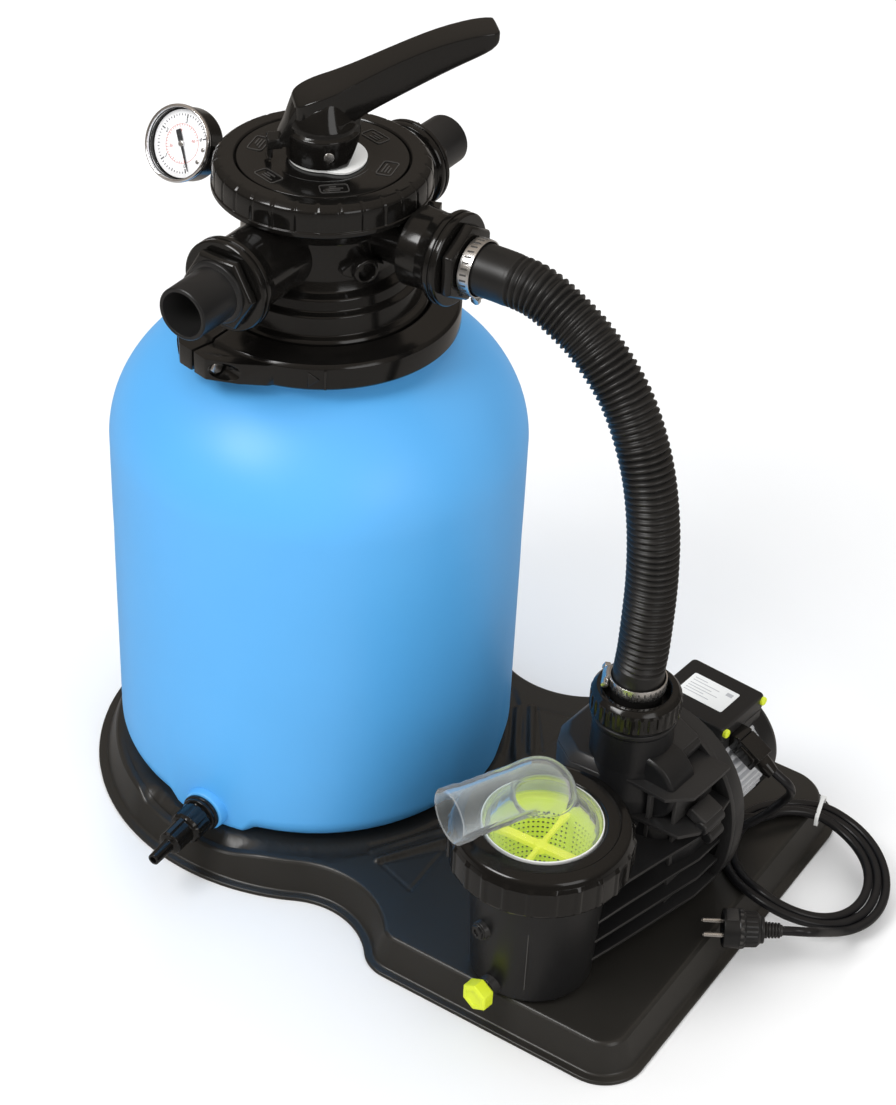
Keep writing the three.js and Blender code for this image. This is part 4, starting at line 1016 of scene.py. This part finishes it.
def build_strainer_ring():
    def flats(angle, r, z):
        if r > 80 and 175 < z < 205:
            return 1.3 - notch(angle, 24, rad(3.6), 1.3)
        return 0.0

    ring = fillet([(75.6, 174), (83.4, 174, 1), (85.3, 176, 1), (85.3, 202.5, 1.6), (82.5, 206.5, 3),
                   (80, 212, 7), (71, 216, 6), (58.4, 214.4, 2), (55.8, 211, 1), (55.8, 205.8),
                   (75.6, 205.8)], steps=5)
    dense = divided(ring, 5)
    piece("strainer_ring_nut", at(PUMP, lathe(dense, 480, ring=True, relief=flats)), GLOSS, "strainer_nut",
          ["strainer_ring"], sharp=50)


def build_strainer_cover():
    """The clear domed cover with the inlet elbow that leaves its top."""
    turn = rad(-110.8)
    outer = fillet([(54, 201), (54, 209, 1), (53, 214, 2.5), (50, 219, 4), (44, 226, 6), (34, 236, 8),
                    (28.6, 241), (28.4, 243)], steps=5)
    inner = [(r - 2.6, z - (2.0 if z > 212 else 0)) for r, z in reversed(outer)]
    dome = lathe(outer + inner, 96, ring=True)
    across, along, wall = 24.0, 6.2, 2.6
    bend = []
    for a in (rad(90) * k / 16 for k in range(17)):
        bend.append((Vector((across * (1 - cos(a)), 0, 17 * sin(a))), Vector((sin(a), 0, cos(a)))))
    bend += [(Vector((across + run * along, 0, 17)), Vector((1, 0, 0))) for run in range(1, 13)]

    def sleeve(extra, lip, bead):
        """Rings along the elbow: a lip at its open end and three beads round its straight part."""
        rings = []
        for i, (centre, way) in enumerate(bend):
            r = 28.5 - 3.8 * step_between(i, 8, 18) + extra
            r += lip if i >= len(bend) - 3 else bead if i in (20, 22, 24) else 0
            side = Vector((0, 1, 0))
            up = way.cross(side)
            turns = [TAU * k / 56 for k in range(56)]
            rings.append([centre + side * (r * cos(a)) + up * (r * sin(a)) for a in turns])
        return rings

    out_rings, in_rings = sleeve(0, 1.5, 0.5), sleeve(-wall, 0.4, 0)
    elbow_at = PUMP @ spin(turn) @ shifted(0, 0, 243)
    cover = at(PUMP, dome) + at(elbow_at, hoop(out_rings + in_rings[::-1]))
    piece("strainer_clear_cover", cover, CLEAR, "strainer_cover", ["strainer_lid"],
          sharp=60)
    rim = turned([(54.3, 200.6), (72.5, 200.6), (72.5, 205, 0.5), (55.6, 205), (55.5, 214.5, 0.6),
                  (54.3, 214.5, 0.5)], 128, ring=True)
    piece("strainer_cover_rim", at(PUMP, rim), WHITE, "strainer_cover", ())


def build_basket():
    cols, rows = 136, 44
    r_top, r_low, z_low, z_top = 51.0, 42.0, 64.0, 190.0
    points, faces = [], []
    for t in (j / rows for j in range(rows + 1)):
        r, z = r_low + (r_top - r_low) * t, z_low + (z_top - z_low) * t
        points += [(r * cos(TAU * i / cols), r * sin(TAU * i / cols), z) for i in range(cols)]
    for j in range(rows):
        for i in range(cols):
            open_cell = i % 2 == 0 and j % 2 == 1 and 2 < j < rows - 3 and i % 34 not in (0, 1)
            if not open_cell:
                k = (i + 1) % cols
                faces.append((j * cols + i, j * cols + k, (j + 1) * cols + k, (j + 1) * cols + i))
    wall = raw_object("basket_wall_shell", at(PUMP, (points, faces)))
    thick = wall.modifiers.new("thick", "SOLIDIFY")
    thick.thickness, thick.offset = 1.6 * MM, 0.0
    bake(wall)
    shell = ([tuple(v.co / MM) for v in wall.data.vertices],
             [tuple(p.vertices) for p in wall.data.polygons])
    bpy.data.objects.remove(wall)
    floor_plate = turned([(0, 62.2), (42.4, 62.2, 1), (42.4, 64.6, 1), (0, 64.6)], 64)
    collar = lathe(fillet([(50.2, 188), (51.8, 188), (53, 189.4, 1), (58, 190.4, 0.8), (58, 198.4, 0.8),
                           (55.6, 199, 0.6), (54.4, 196, 1), (50.2, 194)], steps=3), 96, ring=True)
    cup = [shell, *at(PUMP, floor_plate, collar)]
    piece("basket_cup", cup, BASKET, "basket", ["strainer_basket"], sharp=40)
    bars = []
    for turn_bar in (8, 98):
        wide = 4.6 if turn_bar == 8 else 2.2
        stops = ((-50.4, wide + 1.2), (-32, wide), (0, wide), (32, wide), (50.4, wide + 2))
        bar = loft([[(x, -0.7 * w, 178), (x, 0.7 * w, 178), (x, w, 184.5), (x, -w, 184.5)]
                    for x, w in stops])
        bars += at(PUMP @ spin(rad(turn_bar)), bar)
    bars += at(PUMP, turned([(0, 177.5), (7, 177.5, 1), (6.2, 185.5, 1.5), (0, 186)], 32))
    piece("basket_handle", bars, YELLOW, "basket", (), bevel=0.8)


def build_union():
    def ribs(angle, r, z):
        if r > 40 and 258.5 < z < 273:
            return 1.7 - notch(angle, 30, rad(6.0), 1.7)
        return 0.0

    profile = fillet([(39, 254.6), (41.6, 254.6, 1), (42.6, 256.4, 1), (42.6, 272, 1.5), (41.2, 275.4, 2),
                      (37.6, 279.4, 3), (32, 279.4, 2.5), (30, 276, 1.2), (30, 267), (39, 267)], steps=4)
    dense = divided(profile, 4)
    piece("hose_union_nut", at(UNION, lathe(dense, 448, ring=True, relief=ribs)), GLOSS, "hose_union",
          ["union_nut"], sharp=50)
    tail = lathe([(17, 252), (38.4, 252), (38.4, 262.6), (20, 263), (20, 290), (17, 290)], 64, ring=True)
    piece("hose_union_tail", at(UNION, tail), SATIN, ROOT, ["union_tail"])


def build_volute():
    drum = at(SHAFT, turned([(0, 108), (30, 108), (52, 114, 8), (66, 128, 8), (72, 146, 6),
                             (73, 184.6, 1), (0, 184.6)], 72))
    throat = at(SHAFT, rod(34, 50, 112, 40))
    tower = at(UNION, turned([(0, 120), (46, 120), (44, 176, 14), (38.8, 206, 8), (38.2, 244, 3),
                              (40.4, 247, 1.5), (40.4, 251, 1.5), (38.2, 252), (38.2, 254, 1),
                              (0, 254)], 72))
    outline = [(-66, 112), (-40, 96), (-8, 100), (34, 122), (34, 184), (-76, 184), (-76, 132)]
    shoulder = at(PUMP, prism(outline, 150, 196))
    cap = at(PUMP, loft([[Vector((x, y, 196)) for x, y in outline],
                         [Vector((x * 0.86 - 2, 146 + (y - 146) * 0.84, 206)) for x, y in outline]]))
    low_side = [(-72, 124), (-40, 104), (-20, 104), (-20, 184), (-78, 184), (-78, 150)]
    left = at(PUMP, prism(low_side, 96, 152))
    piece("pump_volute", [*drum, *throat, *tower], SATIN, ROOT, (), bevel=0.8)
    piece("pump_shoulder", [*shoulder, *cap, *left], SATIN, ROOT, (), bevel=2.0, rounds=3)


def build_webs():
    """The level plates and the uprights between the pot and the motor's bracket."""
    upper = [(-20, 120), (8, 104), (22, 107), (60, 107), (79, 127), (80, 163), (80, 186), (-20, 186)]
    lower = [(-20, 120), (20, 106), (76, 111), (88, 129), (88, 162), (84, 186), (-20, 186)]
    webs = [prism(fillet(upper, 2, closed=True), 196, 200),
            prism(fillet(lower, 2, closed=True), 157.5, 161.5)]
    for z in (59, 82, 107, 137):
        # Each web ends inside the pot's wall, so that none of it shows in the pot's bore.
        r_wall = 54.6 + (z - 41) * 0.052
        plan = [(r_wall * cos(rad(a)), r_wall * sin(rad(a))) for a in range(166, 13, -4)]
        plan += fillet([(63, 56), (74, 118), (80, 150), (80, 186), (-70, 186), (-70, 130)], 2)
        webs.append(prism(plan, z - WEB_THICK / 2, z + WEB_THICK / 2))
    uprights = [brick(-3, 3, 57.6, 184, 44, 137), brick(60, 64, 122, 184, 56, 198),
                brick(38, 42, 112, 184, 137, 198)]
    piece("pump_webs", at(PUMP, *webs, *uprights), SATIN, ROOT, (), bevel=1.0)


def build_hooks():
    """The rounded lugs on the volute's side, and the bulge beside the outlet."""
    hooks = []
    for x, y, z, long, deep in ((28, 170, 215, 13, 34), (78, 150, 168, 10, 30), (78, 160, 145, 8, 20)):
        tilt = Matrix.Translation((x, y, z)) @ tipped("Y", 24)
        hooks += at(PUMP @ tilt, brick(-long, long, -deep / 2, deep / 2, -6, 6))
        roll = tilt @ shifted(long, 0, -3) @ tipped("X", -90)
        end = -deep / 2 - 2
        hooks += at(PUMP @ roll, turned([(0, end), (7, end, 2), (7, deep / 2), (0, deep / 2)], 28))
    roll = PUMP @ shifted(27, 0, 189) @ tipped("X", -90)
    bulge = at(roll, turned([(0, 118), (32, 118), (35, 121, 2), (35, 155, 1.5), (0, 155)], 64))
    piece("pump_hooks", [*hooks, *bulge], SATIN, ROOT, (), bevel=2.2, rounds=3)


def build_bracket():
    half, middle, top = 91.0, 122.0, 220.5
    side = []
    for z in (TRAY_TOP + 0.3, 42, 50, 60, 72, 86, 100, 114, middle, 132, 144, 156, 168, 180, 191, 201,
              209, 215, 219):
        drop, power = ((middle - z) / 108, 2.4) if z < middle else ((z - middle) / (top - middle), 2.1)
        side.append((half * (1 - drop ** power) ** (1 / power), z))
    side.append((0, top))
    outer = side + [(-t, z) for t, z in reversed(side[:-1])]
    place = PUMP @ UPRIGHT
    plate = prism(outer, 190, 206)
    inner = [(t * 0.86, TRAY_TOP + 2 + (z - TRAY_TOP) * 0.93) for t, z in outer]
    flange = at(place, plate, band(outer, inner, 184.8, 190.5))
    foot = at(PUMP, brick(-56, 56, 188, 224, TRAY_TOP + 0.3, 45))
    gussets = []
    for x in (-52, -43, 44, 53):
        gussets += at(PUMP @ shifted(x, 0, 0) @ spin(rad(90)) @ tipped("X", 90),
                      prism([(198, 44), (224, 44), (198, 74)], -2, 2))
    seat = at(SHAFT, turned([(0, 199), (54, 199), (54, 206, 1), (0, 206)], 64))
    piece("motor_arch", [*flange, *foot, *gussets, *seat], SATIN, ROOT, ["motor_bracket"],
          bevel=1.1)


# ---- Motor ----
def build_motor():
    profile = []
    fins = 40
    for i in range(fins):
        for shift, r in ((-0.30, 54.5), (-0.22, 60.6), (0.0, 61), (0.22, 60.6), (0.30, 54.5)):
            a = (i + shift) / fins * TAU
            profile.append((r * cos(a), r * sin(a)))
    body = at(SHAFT, prism(profile, 208, 290))
    core = at(SHAFT, rod(57, 206, 212, 64), rod(60, 284, 290, 64))
    piece("motor_fins", [*body, *core], ALU, ROOT, ["motor_housing"], bevel=0.35)
    outer = [(60.2, 288.6), (62, 288.6, 0.6), (62, 307, 1), (60, 312.5, 5), (53, 315, 3), (0, 315)]
    inner = [(0, 312), (54, 312), (59.4, 306), (60.2, 288.6)]
    shell = lathe(fillet(outer, steps=5) + inner, 96)
    slots = []
    for ring_r, count in ((18, 8), (30, 12), (42, 16)):
        for k in range(count):
            slots += at(spin(TAU * k / count), brick(ring_r - 4, ring_r + 4, -1.6, 1.6, 305, 320))
    piece("motor_cowl", at(SHAFT, shell), SATIN, ROOT, ["fan_cowl"], cuts=at(SHAFT, *slots))
    wheel = [rod(14, 292, 306, 32)]
    for k in range(8):
        wheel += at(spin(TAU * k / 8), brick(12, 50, -1, 1, 293, 304))
    piece("cooling_wheel", at(SHAFT, *wheel), SATIN, "pump_rotor", ["cooling_fan"], bevel=0.4)


def block(half, near, far, low, high, corner, steps=4):
    """A box across the motor with rounded upright corners."""
    return prism(fillet([(-half, near), (half, near), (half, far), (-half, far)], corner, closed=True,
                        steps=steps), low, high)


def build_terminal_box():
    half = 41.0
    box = block(half, 232, 304, 150, 174, 4)
    lid = block(half + 0.8, 231, 305, 174.6, 192, 5)
    cradle = at(PUMP, block(30, 226, 306, 140, 152, 3))
    piece("terminal_case", at(PUMP, box) + cradle, SATIN, ROOT, ["terminal_box"], bevel=1.0)
    piece("terminal_cover", at(PUMP, lid), SATIN, ROOT, ["terminal_lid"], bevel=2.6, rounds=4)
    plate = block(26, 252, 286, 191.6, 192.35, 2, steps=3)
    piece("terminal_label", at(PUMP @ shifted(-1, 0, 0), plate), WHITE, ROOT, ())
    lines = [brick(-23, -23 + length, s, s + 0.9, 192.3, 192.45)
             for s, length in ((280, 14), (276, 30), (271, 24), (267, 33), (263, 20), (259, 28))]
    lines.append(brick(14, 21, 276, 281, 192.3, 192.45))
    piece("terminal_label_lines", at(PUMP, *lines), GREY_INK, ROOT, ())
    for name, s in (("front", 236), ("rear", 300)):
        spot = PUMP @ shifted(0, s, 186) @ tipped("Y", 90)
        head = turned([(0, half), (4.3, half), (4.5, half + 3, 1.2), (3.6, half + 4, 0.6),
                       (0, half + 4)], 32)
        piece(f"cover_screw_{name}", at(spot, head), LIME, ROOT, [f"terminal_screw_{name}"])

    gland = [brick(half, half + 12, 246, 268, 160, 178)]
    tilt = shifted(half + 8, 257, 168) @ tipped("Y", 28)
    gland += at(tilt, brick(0, 27, -11, 11, -10, 10), brick(4, 23, -13, 13, -6.5, 6.5))
    gland += at(tilt @ tipped("Y", 90),
                turned([(0, 24), (9, 24), (8.4, 33, 1), (6.4, 44, 1), (0, 44)], 28))
    piece("cord_plug_body", at(PUMP, *gland), GLOSS, ROOT, ["cord_connector"],
          bevel=1.6, rounds=3)


# ---- Cable, tie and plug ----
COIL = Vector((517, 101, 0))
COIL_R = 73.0
PLUG_AT = Vector((500, -39, 50))
PLUG_TURN = rad(-148)
PIN_R, PIN_GAP = 2.4, 19.0


def coil_point(angle, grow, lift=0.0):
    x = COIL.x + (COIL_R + grow) * cos(angle)
    y = COIL.y + (COIL_R + grow) * sin(angle)
    return Vector((x, y, 41 + lift - 0.24 * max(0.0, x - 503)))


def build_cable():
    start = PUMP @ Vector((84, 257, 152))
    points = [start, start + Vector((8, 1, -5)), (495, 86, 136), (494, 96, 118), (484, 106, 96),
              (470, 103, 74), (456, 92, 60), (446, 87, 54), (440, 94, 51), (444, 107, 50)]
    turns, first_turn = 2.54, rad(158)
    for k in range(61):
        part = k / 60
        angle = first_turn - part * turns * TAU
        lift = 1.2 * sin(3.1 * angle) + 6 * (1 - step_between(part, 0, 0.12))
        points.append(coil_point(angle, -11.5 + 9.0 * part * turns, lift))
    out = Vector((-cos(PLUG_TURN), -sin(PLUG_TURN), 0))
    tail = PLUG_AT + out * 57
    points += [tail + out * 30, tail + out * 12, tail - out * 4]
    path = resample(smooth_path(points, 6), 3.0)
    piece("cable_coil", [tube(path, 4.5, 20)], CABLE_BLACK, ROOT, ["mains_cable"], sharp=70)


def build_tie():
    turn = rad(105)
    seat = coil_point(turn, 0)
    strap_in, strap_out = rounded_box(16.8, 5.6, 3), rounded_box(18, 6.8, 4)
    strap = at(UPRIGHT, band(strap_out, strap_in, -2, 2))
    place = Matrix.Translation(seat) @ spin(turn)
    head = brick(17.4, 21.2, -3.2, 3.2, -2.8, 2.8)
    piece("coil_tie", at(place, *strap, head), WHITE, ROOT, ["cable_tie"], bevel=0.3)


def build_plug():
    """The mains plug, built along Z with its pins pointing down, then laid flat."""
    place = Matrix.Translation(PLUG_AT) @ spin(PLUG_TURN + math.pi) @ tipped("Y", 90)

    def grips(angle, r, z):
        return notch(angle, 16, rad(7), 0.8) if 16 < z < 33 and r > 16 else 0.0

    body = lathe(fillet([(0, 3), (14, 3), (16.4, 0, 1), (18.4, 1, 1), (18.6, 15, 1), (19, 16, 1),
                         (19, 20, 1.5), (17.4, 21.5, 1), (16.8, 33, 3), (11.5, 37.5, 3), (8.4, 39, 1),
                         (0, 39)], steps=3), 96, relief=grips)
    flange = turned([(0, 36), (13, 36, 1), (13, 39.5, 1), (0, 39.5)], 48)
    boot = []
    for k, z in enumerate((41, 44, 47, 50, 53)):
        r = 7.8 - 0.15 * k
        fold = [(0, z), (r, z), (r + 0.2, z + 1.6, 0.4), (6.2, z + 2.2), (0, z + 2.2)]
        boot.append(lathe(fillet(fold), 32))
    core = lathe([(0, 38), (6, 38), (5.6, 57), (0, 57)], 32)
    cheeks = brick(-19, 19, -7, 7, 3, 14)
    piece("plug_body", at(place, body, flange, *boot, core, cheeks), SATIN, ROOT, ["mains_plug"],
          bevel=0.5)
    pin = turned([(0, -19), (1.6, -19), (PIN_R, -17.4, 0.6), (PIN_R, 4), (0, 4)], 24)
    pins = at(shifted(0, -PIN_GAP / 2, 0), pin) + at(shifted(0, PIN_GAP / 2, 0), pin)
    piece("plug_pins", at(place, *pins), STEEL, ROOT, ())


# ---- Nodes kept as the CAD made them ----
def dress_nodes():
    looks = ((SAND, "sand_bed"), (WHITE, "underdrain standpipe top_diffuser"), (GLOSS, "valve_rotor"),
             (CABLE_BLACK, "flange_seal spider_gasket lid_seal strainer_seal shaft_seal"),
             (SATIN, "impeller"), (COPPER, "stator"),
             (STEEL, "valve_spring motor_shaft bearing_front bearing_rear"))
    for look, names in looks:
        for name in names.split():
            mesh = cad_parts[name].data
            mesh.materials.clear()
            mesh.materials.append(look)


# ---- Studio ----
def build_floor():
    """A pale floor, which the object's gloss sees as a darker one."""
    floor_mat = moulded("studio_floor", (0.93, 0.93, 0.93), 0.7, vary=0.01, grain=0.01)
    tree = floor_mat.node_tree
    mirrored = node(tree, "BsdfDiffuse", Color=(0.34, 0.315, 0.29, 1))
    swap = node(tree, "MixShader")
    tree.links.new(node(tree, "LightPath").outputs["Is Glossy Ray"], swap.inputs[0])
    tree.links.new(tree.nodes["Principled BSDF"].outputs["BSDF"], swap.inputs[1])
    tree.links.new(mirrored.outputs["BSDF"], swap.inputs[2])
    tree.links.new(swap.outputs["Shader"], tree.nodes["Material Output"].inputs["Surface"])
    floor_mesh = bpy.data.meshes.new("studio_floor")
    reach = 14.0
    corners = [(-reach, -reach, 0), (reach, -reach, 0), (reach, reach, 0), (-reach, reach, 0)]
    floor_mesh.from_pydata(corners, [], [(0, 1, 2, 3)])
    floor_mesh.materials.append(floor_mat)
    floor = bpy.data.objects.new("studio_floor", floor_mesh)
    bpy.context.scene.collection.objects.link(floor)


def build_world():
    """An even sky, dimmer towards one side, and a darker warm one for the object's gloss to see."""
    world = bpy.data.worlds.new("studio")
    bpy.context.scene.world = world
    world.use_nodes = True
    tree = world.node_tree
    sky = tree.nodes["Background"]
    settle(sky, {"Color": (1, 1, 1, 1)})
    sky_way = node(tree, "TexCoord").outputs["Generated"]
    side = node(tree, "VectorMath", operation="DOT_PRODUCT")
    settle(side, {1: (-0.849, -0.528, 0)})
    tree.links.new(sky_way, side.inputs[0])
    dim = node(tree, "MapRange", From_Min=0.1, From_Max=1.0, To_Min=0.95, To_Max=0.35)
    tree.links.new(side.outputs["Value"], dim.inputs["Value"])
    tree.links.new(dim.outputs["Result"], sky.inputs["Strength"])
    seen = node(tree, "Background", Strength=1.0)
    height = node(tree, "SeparateXYZ")
    tree.links.new(node(tree, "TexCoord").outputs["Generated"], height.inputs["Vector"])
    shade = node(tree, "MapRange", From_Min=0.05, From_Max=0.9)
    tree.links.new(height.outputs["Z"], shade.inputs["Value"])
    warm = mixed_color(tree, (0.10, 0.085, 0.07), (0.42, 0.36, 0.30))
    tree.links.new(shade.outputs["Result"], warm.inputs[0])
    tree.links.new(warm.outputs[2], seen.inputs["Color"])
    pick = node(tree, "MixShader")
    rays = node(tree, "LightPath")
    tree.links.new(rays.outputs["Is Glossy Ray"], pick.inputs[0])
    tree.links.new(sky.outputs["Background"], pick.inputs[1])
    tree.links.new(seen.outputs["Background"], pick.inputs[2])
    tree.links.new(pick.outputs["Shader"], tree.nodes["World Output"].inputs["Surface"])


def softbox(name, place, target, width, height, power):
    data = bpy.data.lights.new(name, "AREA")
    data.shape, data.size, data.size_y, data.energy = "RECTANGLE", width, height, power
    lamp = bpy.data.objects.new(name, data)
    bpy.context.scene.collection.objects.link(lamp)
    lamp.location = place
    lamp.rotation_euler = (Vector(target) - Vector(place)).to_track_quat("-Z", "Y").to_euler()
    return lamp


def build_lights():
    softbox("key", (-0.6, -1.9, 2.6), (0.0, 0.0, 0.45), 1.3, 1.0, 44)
    softbox("fill", (2.6, -1.0, 1.6), (0.2, 0.0, 0.3), 1.2, 1.6, 12)
    rim = softbox("rim", (-1.6, 2.0, 2.2), (0.0, 0.0, 0.5), 1.2, 1.2, 18)
    rim.visible_glossy = False


def build_camera():
    """The photo's own viewpoint: where it stands, how it is turned and how long its lens is."""
    yaw, pitch, roll = rad(-31.883), rad(36.731), rad(2.859)
    right = Vector((cos(yaw), -sin(yaw), 0))
    ahead = Vector((sin(yaw) * cos(pitch), cos(yaw) * cos(pitch), -sin(pitch)))
    up = right.cross(ahead)
    across = right * cos(roll) + up * sin(roll)
    upward = -right * sin(roll) + up * cos(roll)
    camera_data = bpy.data.cameras.new("camera")
    camera_data.lens, camera_data.sensor_width = 81.17, 36
    camera = bpy.data.objects.new("camera", camera_data)
    bpy.context.scene.collection.objects.link(camera)
    matrix = Matrix((across, upward, -ahead)).transposed().to_4x4()
    matrix.translation = (1.15350, -1.61146, 1.72920)
    camera.matrix_world = matrix
    bpy.context.scene.camera = camera
    bpy.context.scene.view_settings.view_transform = "Standard"


build_tray()
build_tank()
build_drain()
build_clamp()
build_valve()
build_cover()
build_washer()
build_adaptors()
build_lever()
build_gauge()
build_hose()
build_clamps()
build_pot()
build_strainer_ring()
build_strainer_cover()
build_basket()
build_union()
build_volute()
build_webs()
build_hooks()
build_bracket()
build_motor()
build_terminal_box()
build_cable()
build_tie()
build_plug()
dress_nodes()
build_floor()
build_world()
build_lights()
build_camera()
